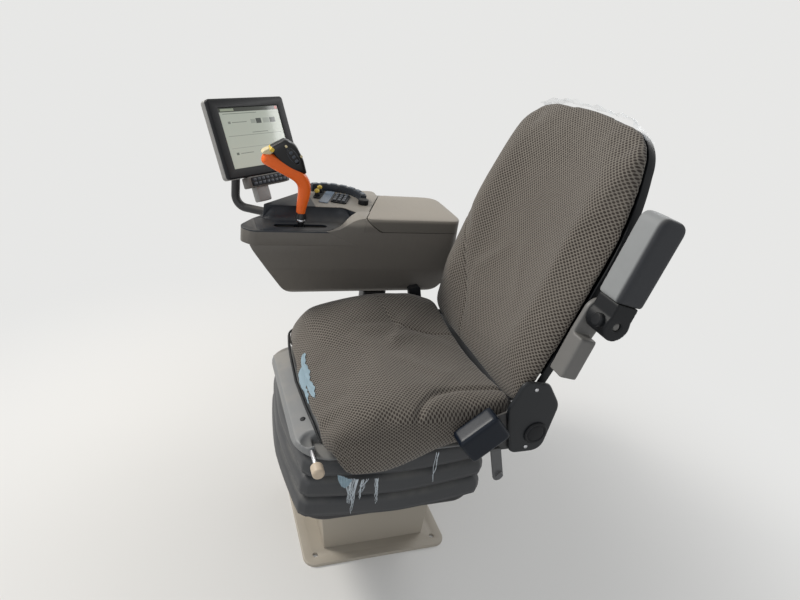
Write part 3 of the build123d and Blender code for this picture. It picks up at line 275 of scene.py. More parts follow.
@dataclass(frozen=True)
class Paint:
    """Painted or bare steel, with fine orange peel, scuffs and dust."""

    colour: Colour
    roughness: float = 0.38
    metallic: float = 0.0
    scuff: Colour = (0.5, 0.48, 0.45)
    wear: float = 0.25
    dust: float = 0.3

    def material(self, name: str) -> bpy.types.Material:
        """Make the material of that name."""
        g = Graph(name)
        peel = g.noise(0.004, 2.0)
        patches = g.noise(0.09, 5.0)
        scratches = g.noise(0.01, 6.0, g.scaled((1.0, 1.0, 9.0))).rise(0.66, 0.74) * self.wear
        settled = g.upward().rise(0.3, 1.0) * patches.rise(0.35, 0.75) * self.dust
        colour = g.mix(settled, g.mix(scratches, self.colour, self.scuff), DUST)
        rough = settled * 0.4 + scratches * 0.3 + (patches - 0.5) * 0.16 + self.roughness
        return g.finish(colour, rough, Metallic=self.metallic, Normal=g.bump(peel, 0.00005))


@dataclass(frozen=True)
class WovenDots:
    """Seat cloth: taupe weave with staggered dark dots, read from the piece's own unrolled map."""

    thread: Colour = (0.27, 0.245, 0.212)
    shade: Colour = (0.145, 0.128, 0.108)
    dot: Colour = (0.024, 0.017, 0.0145)
    pitch_across: float = 0.0092
    pitch_along: float = 0.0098
    dot_across: float = 0.0027
    dot_along: float = 0.0022
    thread_pitch: float = 0.0014
    wobble: float = 0.0016

    def material(self, name: str) -> bpy.types.Material:
        """Make the material of that name: two rectangular lattices of dots, half a pitch apart."""
        g = Graph(name)
        cloth = g.node("ShaderNodeUVMap", {"uv_map": "cloth"}).outputs[0]
        wobble = g.node("ShaderNodeTexNoise", None, {"Vector": cloth, "Scale": 160.0, "Detail": 2.0})
        where = wobble.outputs["Color"]
        for operation, value in (
            ("SUBTRACT", {1: (0.5, 0.5, 0.5)}), ("SCALE", {"Scale": self.wobble}), ("ADD", {1: cloth})
        ):
            where = g.node("ShaderNodeVectorMath", {"operation": operation}, {0: where, **value}).outputs[0]
        across, along, _ = g.axes(where)
        reach = None
        for offset in (0.0, 0.5):
            right = (across / self.pitch_across + offset).part() - 0.5
            right = right * (self.pitch_across / self.dot_across)
            up = ((along / self.pitch_along + offset).part() - 0.5) * (self.pitch_along / self.dot_along)
            distance = (right * right + up * up) ** 0.5
            reach = distance if reach is None else reach.least(distance)
        dots = reach.rise(1.35, 0.75)
        turns = tau / self.thread_pitch
        weave = (across * turns).wave() * (along * turns).wave() * 0.5 + 0.5
        strands = g.noise(0.0006, 2.0, cloth)
        worn = g.noise(0.16, 4.0).rise(0.3, 0.7)
        fuzz = weave * 0.55 + strands * 0.45
        ground = g.mix(fuzz.rise(0.25, 0.8), self.shade, self.thread)
        ground = g.mix(worn * 0.28, ground, tuple(c * 0.72 for c in self.thread))
        colour = g.mix(dots * (0.96 - worn * 0.12), ground, self.dot)
        height = (1.0 - dots) * 0.7 + fuzz * 0.3
        normal = g.bump(height, 0.0007)
        sheen = {"Sheen_Weight": 0.22, "Sheen_Roughness": 0.45, "Specular_IOR_Level": 0.25}
        return g.finish(colour, dots * 0.04 + 0.86, Normal=normal, **sheen)


@dataclass(frozen=True)
class Film:
    """Clear wrapping film, crumpled and milky along its creases."""

    colour: Colour = (0.62, 0.7, 0.76)
    cover: float = 0.22

    def material(self, name: str) -> bpy.types.Material:
        """Make the material of that name."""
        g = Graph(name)
        creases = g.noise(0.05, 3.0, g.scaled((1.0, 2.0, 1.0)))
        ridges = 1.0 - abs(creases - 0.5).rise(0.0, 0.035)
        alpha = ridges * 0.2 + self.cover * creases.rise(0.2, 0.8)
        return g.finish(self.colour, 0.3, Alpha=alpha, Normal=g.bump(creases, 0.0015))


@dataclass(frozen=True)
class Panel:
    """One block on the screen: place and size as shares of the screen, and its colour."""

    left: float
    low: float
    right: float
    high: float
    colour: Colour


@dataclass(frozen=True)
class Screen:
    """Lit touch screen: pale ground, plain bars and blocks, read from the piece's own map."""

    ground: Colour = (0.5, 0.54, 0.46)
    blocks: tuple[Panel, ...] = (
        Panel(0.0, 0.93, 1.0, 1.0, (0.035, 0.04, 0.03)),
        Panel(0.03, 0.945, 0.24, 0.985, (0.3, 0.34, 0.25)),
        Panel(0.945, 0.94, 0.99, 0.99, (0.45, 0.05, 0.03)),
        Panel(0.05, 0.895, 0.6, 0.905, (0.16, 0.18, 0.15)),
        Panel(0.1, 0.735, 0.14, 0.775, (0.2, 0.22, 0.19)),
        Panel(0.16, 0.75, 0.4, 0.76, (0.16, 0.18, 0.15)),
        Panel(0.47, 0.72, 0.55, 0.79, (0.32, 0.35, 0.3)),
        Panel(0.56, 0.715, 0.65, 0.8, (0.04, 0.05, 0.04)),
        Panel(0.68, 0.715, 0.79, 0.8, (0.34, 0.37, 0.32)),
        Panel(0.8, 0.715, 0.9, 0.8, (0.05, 0.06, 0.05)),
        Panel(0.05, 0.53, 0.95, 0.537, (0.2, 0.22, 0.19)),
        Panel(0.45, 0.565, 0.72, 0.575, (0.16, 0.18, 0.15)),
        Panel(0.05, 0.33, 0.95, 0.335, (0.25, 0.27, 0.24)),
        Panel(0.1, 0.22, 0.14, 0.26, (0.12, 0.14, 0.11)),
        Panel(0.17, 0.235, 0.38, 0.245, (0.16, 0.18, 0.15)),
        Panel(0.5, 0.2, 0.55, 0.27, (0.3, 0.33, 0.28)),
    )

    def material(self, name: str) -> bpy.types.Material:
        """Make the material of that name."""
        g = Graph(name)
        across, up, _ = g.axes(g.node("ShaderNodeUVMap", {"uv_map": "screen"}).outputs[0])
        smear = g.noise(0.03, 5.0)
        colour = g.mix(up.rise(0.0, 1.0) * 0.35, self.ground, tuple(c * 0.75 for c in self.ground))
        soft = 0.002
        for block in self.blocks:
            inside = across.rise(block.left - soft, block.left + soft)
            inside = inside * across.rise(block.right + soft, block.right - soft)
            inside = inside * up.rise(block.low - soft, block.low + soft)
            inside = inside * up.rise(block.high + soft, block.high - soft)
            colour = g.mix(inside, colour, block.colour)
        glass = {"Emission_Strength": 0.25, "Coat_Weight": 0.4, "Coat_Roughness": 0.08}
        return g.finish(colour, smear * 0.14 + 0.1, Emission_Color=colour, **glass)


class Finishes:
    """Every finish of the seat, made once and handed out by slot name."""

    def __init__(self) -> None:
        """Make the materials."""
        black = (0.010, 0.011, 0.013)
        night = (0.017, 0.021, 0.028)
        # Lit and shaded copies of one console plastic: taupe is its tone on the shaded sides (painted shade),
        # and the paler colour on the next line is its tone on the sunlit tops (painted sunlight).
        taupe = (0.142, 0.13, 0.115)
        sunlit_taupe = (0.3, 0.275, 0.24)
        fine = 0.00001
        makers = {
            "pedestal_paint": Paint((0.4, 0.36, 0.3), roughness=0.5),
            "black_steel": Paint((0.022, 0.022, 0.024), roughness=0.42),
            "bright_steel": Paint((0.5, 0.5, 0.52), roughness=0.28, metallic=1.0, wear=0.1, dust=0.12),
            "strip_steel": Paint((0.09, 0.092, 0.096), roughness=0.36, wear=0.5, dust=0.15),
            # Bellows paler where the folds face up, at a high share: dust, and a painted sheen along the top
            # of each lip.
            "bellows_rubber": Moulding(
                (0.05, 0.052, 0.056), pitch=0.0016, dust=0.6, dust_colour=(0.2, 0.195, 0.18)
            ),
            "grey_plastic": Moulding((0.16, 0.156, 0.15), roughness=0.48),
            "cover_plastic": Moulding((0.2, 0.205, 0.208), roughness=0.48, dust=0.4),
            "black_plastic": Moulding(black, roughness=0.45, dust=0.06, shine=0.2),
            "side_plastic": Moulding((0.016, 0.018, 0.021), roughness=0.38, dust=0.12, shine=0.3),
            "gloss_plastic": Moulding(
                (0.005, 0.009, 0.017), roughness=0.34, grain=0.000004, dust=0.0, shine=0.2
            ),
            "armrest_foam": Moulding(
                (0.27, 0.28, 0.285), roughness=0.6, pitch=0.0013, dust=0.12, shine=0.3,
                second=(0.036, 0.038, 0.043), zone=((0, 0.346, 0.355),),
            ),
            "beige_plastic": Moulding((0.56, 0.46, 0.35), roughness=0.45),
            "console_plastic": Moulding(taupe, roughness=0.44, pitch=0.0012),
            # Top of the rim above the zone in the paler sunlit colour: a painted highlight.
            "rim_plastic": Moulding(
                taupe, roughness=0.44, pitch=0.0012, second=sunlit_taupe, zone=((2, 0.7, 0.716),)
            ),
            "surround_plastic": Moulding(
                taupe, roughness=0.42, pitch=0.0012, second=night, zone=((2, 0.6855, 0.6868),)
            ),
            # Pad sides in the shaded tone and its top in a paler sunlit tone: painted shade and painted
            # sunlight.
            "pad_plastic": Moulding(
                (0.135, 0.125, 0.11), roughness=0.55, pitch=0.0014, dust=0.2,
                second=(0.32, 0.29, 0.25), zone=((2, 0.716, 0.7265),),
            ),
            # Top face of the panel's rear part in the paler sunlit colour: painted sunlight.
            "panel_plastic": Moulding(
                night, roughness=0.4, dust=0.2, shine=0.25,
                second=sunlit_taupe, zone=((2, 0.7215, 0.7232), (1, -0.104, -0.099)),
            ),
            "deck_plastic": Moulding(night, roughness=0.38, dust=0.15, shine=0.3),
            "ridge_plastic": Moulding(
                (0.03, 0.036, 0.046), roughness=0.4, dust=0.2,
                second=(0.1, 0.12, 0.15), zone=((2, 0.7446, 0.7458),),
            ),
            "key_plastic": Moulding((0.05, 0.06, 0.078), roughness=0.32, grain=fine, dust=0.2),
            "strip_plastic": Moulding((0.2, 0.25, 0.32), roughness=0.3, grain=fine, dust=0.2),
            "handle_orange": Moulding((0.95, 0.15, 0.012), roughness=0.34, grain=0.00002, dust=0.04),
            "handle_black": Moulding((0.008, 0.008, 0.009), roughness=0.3, dust=0.05, shine=0.35),
            "button_grey": Moulding((0.3, 0.31, 0.33), roughness=0.3, grain=fine, dust=0.1),
            "display_grey": Moulding((0.3, 0.295, 0.285), roughness=0.42),
            "arm_grey": Moulding((0.15, 0.142, 0.13), roughness=0.45),
            # Display arm: the display's grey darkened to the tone of its shaded side, painted shade.
            "arm_painted_shade": Moulding((0.04, 0.041, 0.043), roughness=0.45, shine=0.3),
            "display_glass": Screen(),
            "seat_fabric": WovenDots(),
            "yellow_plastic": Moulding((0.8, 0.56, 0.07), roughness=0.36, dust=0.06),
            "cream_plastic": Moulding((0.72, 0.62, 0.38), roughness=0.42, dust=0.1),
            "film": Film(),
            "fray": Moulding((0.6, 0.66, 0.71), roughness=0.7, dust=0.0),
            "lining": Moulding((0.27, 0.37, 0.43), roughness=0.8, grain=0.0003, pitch=0.002, dust=0.0),
        }
        self.materials = {name: maker.material(name) for name, maker in makers.items()}

    def __getitem__(self, name: str) -> bpy.types.Material:
        """The material of that name."""
        return self.materials[name]


@dataclass
class Workshop:
    """Makes pieces from arrays and puts them on their bodies."""

    finishes: Finishes

    def put(
        self, name: str, points: np.ndarray, faces: np.ndarray | list, finish: str, body: Body,
        slot: str | None = None, replaces: tuple[str, ...] = (),
    ) -> Piece:
        """Make a piece.

        Args:
            name: the piece's name.
            points: its vertices in the row frame, in metres.
            faces: its faces as vertex numbers.
            finish: name of its material.
            body: the body that it moves with.
            slot: the record's slot, or the finish's own name; not used.
            replaces: the nodes that it stands for.

        Returns:
            The piece.
        """
        mesh = bpy.data.meshes.new(name)
        mesh.from_pydata(np.asarray(points).tolist(), [], [list(map(int, face)) for face in faces])
        return self.place(mesh, name, finish, body, slot, replaces)

    def shell(
        self, name: str, points: np.ndarray, faces: np.ndarray, finish: str, body: Body,
        slot: str | None = None, replaces: tuple[str, ...] = (), smooth: bool = True,
    ) -> Piece:
        """Make a piece whose close points are welded, its holes filled and its faces turned outwards."""
        return self.place(welded(points, faces, name), name, finish, body, slot, replaces, smooth)

    def place(
        self, mesh: bpy.types.Mesh, name: str, finish: str, body: Body, slot: str | None = None,
        replaces: tuple[str, ...] = (), smooth: bool = True,
    ) -> Piece:
        """Link a mesh as a piece of a body, with its finish."""
        mesh.polygons.foreach_set("use_smooth", np.full(len(mesh.polygons), smooth))
        piece = bpy.data.objects.new(name, mesh)
        bpy.context.scene.collection.objects.link(piece)
        mesh.materials.clear()
        mesh.materials.append(self.finishes[finish])
        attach(piece, body.value)
        if replaces:
            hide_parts(*replaces)
        log.info("%s on %s: %d faces", name, body.value, len(mesh.polygons))
        return piece

    @staticmethod
    def map_cloth(mesh: bpy.types.Mesh, name: str, values: np.ndarray) -> None:
        """Write a map of that name, with one value for each vertex."""
        layer = mesh.uv_layers.new(name=name)
        corners = np.zeros(len(mesh.loops), dtype=np.int32)
        mesh.loops.foreach_get("vertex_index", corners)
        layer.data.foreach_set("uv", values[corners].astype(np.float32).ravel())

    def dress(self, node: str, finish: str) -> None:
        """Give the finish to a node of the frame that keeps its own shape."""
        mesh = frame["nodes"][node].data
        mesh.materials.clear()
        mesh.materials.append(self.finishes[finish])

    def copied(self, node: str, finish: str, name: str, slot: str | None) -> Piece:
        """Stand a copy of a node in for it, with its triangles joined into flat faces."""
        source = frame["nodes"][node]
        mesh = bpy.data.meshes.new(name)
        shell = bmesh.new()
        shell.from_mesh(source.data)
        bmesh.ops.remove_doubles(shell, verts=shell.verts, dist=2e-6)
        bmesh.ops.dissolve_limit(shell, angle_limit=radians(0.6), verts=shell.verts, edges=shell.edges)
        shell.to_mesh(mesh)
        shell.free()
        return self.place(mesh, name, finish, Body(body_of(source)[0]), slot, (node,))

    def eased(
        self, node: str, finish: str, width: float, slot: str | None = None, limit: float = 32.0
    ) -> Piece:
        """Copy of a node whose edges sharper than limit degrees are rounded by width."""
        return self.rounded(self.copied(node, finish, f"{node}_eased", slot), width, limit)

    @staticmethod
    def rounded(piece: Piece, width: float, limit: float = 32.0) -> Piece:
        """Round the piece's edges sharper than limit degrees by width."""
        bevel = piece.modifiers.new("rounding", "BEVEL")
        bevel.width = width
        bevel.segments = 3
        bevel.limit_method = "ANGLE"
        bevel.angle_limit = radians(limit)
        bevel.harden_normals = True
        return piece

    def melted(self, node: str, finish: str, voxel: float, passes: int, slot: str | None = None) -> Piece:
        """Copy of a node rebuilt in small voxels and smoothed so many times, as a soft moulding."""
        piece = self.copied(node, finish, f"{node}_moulded", slot)
        remesh = piece.modifiers.new("voxels", "REMESH")
        remesh.mode = "VOXEL"
        remesh.voxel_size = voxel
        remesh.use_smooth_shade = True
        smooth = piece.modifiers.new("smoothing", "SMOOTH")
        smooth.factor = 0.5
        smooth.iterations = passes
        return piece

    def turned(
        self, name: str, profile: tuple[tuple[float, float], ...], centre: Point, axis: Point, finish: str,
        body: Body, slot: str, sides: int = 28,
    ) -> Piece:
        """Turned piece: a profile of (radius, height along the axis) points carried round the axis."""
        along = Vector(axis).normalized()
        side = along.orthogonal().normalized()
        other = along.cross(side)
        radius, height = np.array(profile).T
        angle = np.linspace(0, tau, sides, endpoint=False)
        ring = np.cos(angle)[:, None] * np.array(side) + np.sin(angle)[:, None] * np.array(other)
        points = np.array(centre) + radius[:, None, None] * ring + height[:, None, None] * np.array(along)
        faces = ring_faces(len(profile), sides).tolist()
        faces.append(list(range(sides))[::-1])
        faces.append(list(range((len(profile) - 1) * sides, len(profile) * sides)))
        return self.put(name, points.reshape(-1, 3), faces, finish, body, slot)

    def blocks(
        self, name: str, centres: np.ndarray, half: Point, axes: np.ndarray, finish: str, body: Body,
        slot: str, power: float,
    ) -> Piece:
        """Small rounded blocks: one superellipsoid, its axes rows of a matrix, repeated at each centre."""
        up = np.linspace(-pi / 2, pi / 2, 9)[:, None]
        round_it = np.linspace(0, tau, 20, endpoint=False)

        def curved(value: np.ndarray) -> np.ndarray:
            """Sign kept, size raised to 2 over the power."""
            return np.sign(value) * np.abs(value) ** (2 / power)

        body_x = curved(np.cos(up)) * curved(np.cos(round_it)) * half[0]
        body_y = curved(np.cos(up)) * curved(np.sin(round_it)) * half[1]
        body_z = curved(np.sin(up)) * half[2] + np.zeros_like(body_x)
        one = np.stack((body_x, body_y, body_z), axis=-1).reshape(-1, 3) @ np.asarray(axes)
        points = (np.asarray(centres)[:, None] + one).reshape(-1, 3)
        faces = ring_faces(9, 20) + (np.arange(len(centres)) * len(one))[:, None, None]
        mesh = welded(points, faces.reshape(-1, 4), name, merge=1e-6, fill=False)
        return self.place(mesh, name, finish, body, slot)


def ring_faces(rows: int, columns: int, closed: bool = True) -> np.ndarray:
    """Faces of a grid of rows by columns, whose columns close into rings if closed."""
    last = columns if closed else columns - 1
    row, column = np.meshgrid(np.arange(rows - 1) * columns, np.arange(last), indexing="ij")
    across = (column + 1) % columns
    quads = (row + column, row + across, row + columns + across, row + columns + column)
    return np.stack(quads, axis=-1).reshape(-1, 4)


def tube(path: np.ndarray, radius: np.ndarray | float, sides: int = 10) -> tuple[np.ndarray, list]:
    """Round tube along a path: at each point a ring square to the path, its ends closed by caps.

    Args:
        path: points along the middle, one row each.
        radius: radius, or one for each point.
        sides: corners of each ring.

    Returns:
        Its points and faces.
    """
    run = np.gradient(path, axis=0)
    run /= np.linalg.norm(run, axis=1, keepdims=True)
    guide = np.array((0.0, 0.0, 1.0)) if abs(run[:, 2]).mean() < 0.8 else np.array((1.0, 0.0, 0.0))
    side = np.cross(run, guide)
    side /= np.linalg.norm(side, axis=1, keepdims=True)
    rise = np.cross(side, run)
    angle = np.linspace(0, tau, sides, endpoint=False)
    reach = np.broadcast_to(radius, len(path))[:, None, None]
    ring = np.cos(angle)[:, None] * side[:, None] + np.sin(angle)[:, None] * rise[:, None]
    points = path[:, None] + reach * ring
    faces = ring_faces(len(path), sides)[:, ::-1].tolist()
    faces.append(list(range(sides)))
    faces.append(list(range((len(path) - 1) * sides, len(path) * sides))[::-1])
    return points.reshape(-1, 3), faces


@dataclass
class PaddedForm:
    """A stuffed cushion inside a closed outline, its depth given by two height functions.

    At place a round the outline and angle b over the edge, the outline is drawn in towards its middle
    by a power of cos b, and the height goes from the rear surface to the front one by a power of sin b.
    """

    outline: np.ndarray
    front: Callable[[np.ndarray, np.ndarray], np.ndarray]
    rear: Callable[[np.ndarray, np.ndarray], np.ndarray]
    front_power: float | np.ndarray = 3.2
    rear_power: float = 7.0
    rings: int = 90

    def surface(self) -> tuple[np.ndarray, np.ndarray]:
        """Points as (across, along, out) and faces of the closed form."""
        middle = (self.outline.min(axis=0) + self.outline.max(axis=0)) / 2
        over = np.linspace(-pi / 2, pi / 2, self.rings)[:, None]
        edge = np.where(over < 0, self.rear_power, self.front_power)
        inward = np.abs(np.cos(over)) ** (2 / edge)
        inward[0] = inward[-1] = 1e-4
        x = middle[0] + inward * (self.outline[:, 0] - middle[0])
        y = middle[1] + inward * (self.outline[:, 1] - middle[1])
        share = (np.sign(np.sin(over)) * np.abs(np.sin(over)) ** (2 / edge) + 1) / 2
        low, high = self.rear(x, y), self.front(x, y)
        points = np.stack((x, y, low + share * (high - low)), axis=-1).reshape(-1, 3)
        return points, ring_faces(self.rings, len(self.outline))

    def unrolled(self, across: np.ndarray, along: np.ndarray, out: np.ndarray, rim: float) -> np.ndarray:
        """Flat map of the cover: below the rim a point moves outwards by its drop, square to the outline."""
        here = np.stack((across, along), axis=-1)
        tangent = np.roll(self.outline, -1, axis=0) - np.roll(self.outline, 1, axis=0)
        normal = np.stack((tangent[:, 1], -tangent[:, 0]), axis=-1)
        normal /= np.linalg.norm(normal, axis=1, keepdims=True)
        share = np.zeros((len(here), 2))
        for part in np.array_split(np.arange(len(here)), len(here) // 8000 + 1):
            gap = np.hypot(*(here[part, None] - self.outline[None]).transpose(2, 0, 1)) + 1e-4
            weight = gap**-6.0
            share[part] = weight @ normal / weight.sum(axis=1, keepdims=True)
        drop = np.maximum(0.0, rim - out)[:, None]
        return here + drop * share


def evenly(loop: np.ndarray, count: int) -> np.ndarray:
    """Points at even steps along a closed line, whose last point repeats its first."""
    run = np.concatenate(((0.0,), np.cumsum(np.hypot(*np.diff(loop, axis=0).T))))
    at = np.linspace(0, run[-1], count, endpoint=False)
    return np.stack([np.interp(at, run, loop[:, axis]) for axis in (0, 1)], axis=-1)


def closed_curve(half: tuple[tuple[float, float], ...], count: int) -> np.ndarray:
    """Closed outline from its right half, low to high: a smooth curve, mirrored, in even steps."""
    right = curve_through(list(half), 240)
    left = right[::-1] * (-1, 1)
    return evenly(np.vstack((right, left[1:-1], right[:1])), count)


def rounded_loop(corners: tuple, radii: tuple[float, ...], count: int) -> np.ndarray:
    """Closed outline whose corners are cut back by their radii and bridged by parabolas, in even steps."""
    here = np.array(corners, dtype=float)
    share = np.linspace(0, 1, 14)[:, None]
    arcs = []
    neighbours = np.roll(here, 1, axis=0), np.roll(here, -1, axis=0)
    for corner, before, after, radius in zip(here, *neighbours, radii):
        start = corner + (before - corner) / np.linalg.norm(before - corner) * radius
        end = corner + (after - corner) / np.linalg.norm(after - corner) * radius
        arcs.append((1 - share) ** 2 * start + 2 * share * (1 - share) * corner + share**2 * end)
    return evenly(np.vstack([*arcs, arcs[0][:1]]), count)


def eased_step(value: np.ndarray, low: float, high: float) -> np.ndarray:
    """Smooth step from 0 at low to 1 at high."""
    share = np.clip((value - low) / (high - low), 0, 1)
    return share * share * (3 - 2 * share)


def lower_of(first: np.ndarray, second: np.ndarray, blend: float = 0.004) -> np.ndarray:
    """Smooth minimum: minus blend times the logarithm of the summed exponentials."""
    return -blend * np.logaddexp(-first / blend, -second / blend)


def welded(
    points: np.ndarray, faces: np.ndarray, name: str, merge: float = 2e-4, fill: bool = True
) -> bpy.types.Mesh:
    """Mesh with points closer than merge made one, its holes closed if fill, its faces turned outwards."""
    mesh = bpy.data.meshes.new(name)
    mesh.from_pydata(points.tolist(), [], faces.tolist())
    shell = bmesh.new()
    shell.from_mesh(mesh)
    bmesh.ops.remove_doubles(shell, verts=shell.verts, dist=merge)
    if fill:
        bmesh.ops.holes_fill(shell, edges=[edge for edge in shell.edges if edge.is_boundary], sides=0)
    bmesh.ops.recalc_face_normals(shell, faces=shell.faces)
    shell.to_mesh(mesh)
    shell.free()
    return mesh


def read_points(mesh: bpy.types.Mesh) -> np.ndarray:
    """The mesh's vertices as an array of rows."""
    values = np.zeros(len(mesh.vertices) * 3, dtype=np.float32)
    mesh.vertices.foreach_get("co", values)
    return values.reshape(-1, 3).astype(float)


def write_points(mesh: bpy.types.Mesh, points: np.ndarray) -> None:
    """Move the mesh's vertices to an array of rows."""
    mesh.vertices.foreach_set("co", points.astype(np.float32).ravel())
    mesh.update()


@dataclass
class Stuffing:
    """Blows a cushion up as cloth: voxel remesh, pressure, capped move, calming, one subdivision."""

    voxel: float = 0.006
    pressure: float = 4.0
    cap: float = 0.008
    mass: float = 0.3
    frames: int = 20
    calm: int = 18

    def _applied(self, piece: Piece) -> None:
        """Put the piece's modifiers into its mesh."""
        graph = bpy.context.evaluated_depsgraph_get()
        mesh = bpy.data.meshes.new_from_object(piece.evaluated_get(graph), depsgraph=graph)
        piece.modifiers.clear()
        piece.data = mesh

    def run(self, mesh: bpy.types.Mesh, held: Callable[[np.ndarray], np.ndarray]) -> bpy.types.Mesh:
        """Inflate the mesh.

        Args:
            mesh: closed starting shape in the row frame.
            held: weight from 0, free, to 1, held, of each point.
        """
        piece = bpy.data.objects.new("stuffing", mesh)
        bpy.context.scene.collection.objects.link(piece)
        remesh = piece.modifiers.new("voxels", "REMESH")
        remesh.mode = "VOXEL"
        remesh.voxel_size = self.voxel
        remesh.use_smooth_shade = True
        self._applied(piece)
        start = read_points(piece.data)
        group = piece.vertex_groups.new(name="held")
        weights = held(start)
        for level in np.unique(np.round(weights, 1)):
            if level > 0:
                members = np.nonzero(np.round(weights, 1) == level)[0]
                group.add(members.tolist(), float(level), "REPLACE")
        cloth = piece.modifiers.new("cloth", "CLOTH")
        settings = cloth.settings
        settings.quality = 6
        settings.mass = self.mass
        settings.use_pressure = True
        settings.uniform_pressure_force = self.pressure
        settings.vertex_group_mass = "held"
        settings.pin_stiffness = 1.0
        settings.effector_weights.gravity = 0.0
        cloth.point_cache.frame_start = 1
        cloth.point_cache.frame_end = self.frames
        scene = bpy.context.scene
        for step in range(1, self.frames + 1):
            scene.frame_set(step)
        graph = bpy.context.evaluated_depsgraph_get()
        blown = read_points(piece.evaluated_get(graph).data)
        move = blown - start
        length = np.linalg.norm(move, axis=1, keepdims=True)
        write_points(piece.data, start + move * np.minimum(1.0, self.cap / np.maximum(length, 1e-9)))
        piece.modifiers.clear()
        scene.frame_set(1)
        calm = piece.modifiers.new("calm", "SMOOTH")
        calm.factor = 0.5
        calm.iterations = self.calm
        smooth = piece.modifiers.new("finer", "SUBSURF")
        smooth.levels = smooth.render_levels = 1
        self._applied(piece)
        result = piece.data
        bpy.data.objects.remove(piece)
        return result


def distance_to(path: np.ndarray, across: np.ndarray, along: np.ndarray) -> np.ndarray:
    """Shortest flat distance from each point to a path of straight runs."""
    nearest = np.full(across.shape, np.inf)
    for start, end in zip(path[:-1], path[1:]):
        run = end - start
        share = ((across - start[0]) * run[0] + (along - start[1]) * run[1]) / (run @ run)
        share = np.clip(share, 0.0, 1.0)
        gap = np.hypot(across - start[0] - share * run[0], along - start[1] - share * run[1])
        nearest = np.minimum(nearest, gap)
    return nearest


def curve_through(points: list[tuple[float, float]], count: int = 48) -> np.ndarray:
    """Smooth curve through points: Catmull-Rom, with a mirrored point beyond each end."""
    knots = np.array(points, dtype=float)
    knots = np.vstack((2 * knots[0] - knots[1], knots, 2 * knots[-1] - knots[-2]))
    where = np.linspace(0, len(points) - 1 - 1e-9, count)
    start = where.astype(int)
    t = (where - start)[:, None]
    a, b, c, d = (knots[start + shift] for shift in range(4))
    return 0.5 * (2 * b + (c - a) * t + (2 * a - 5 * b + 4 * c - d) * t**2 + (3 * b - a - 3 * c + d) * t**3)


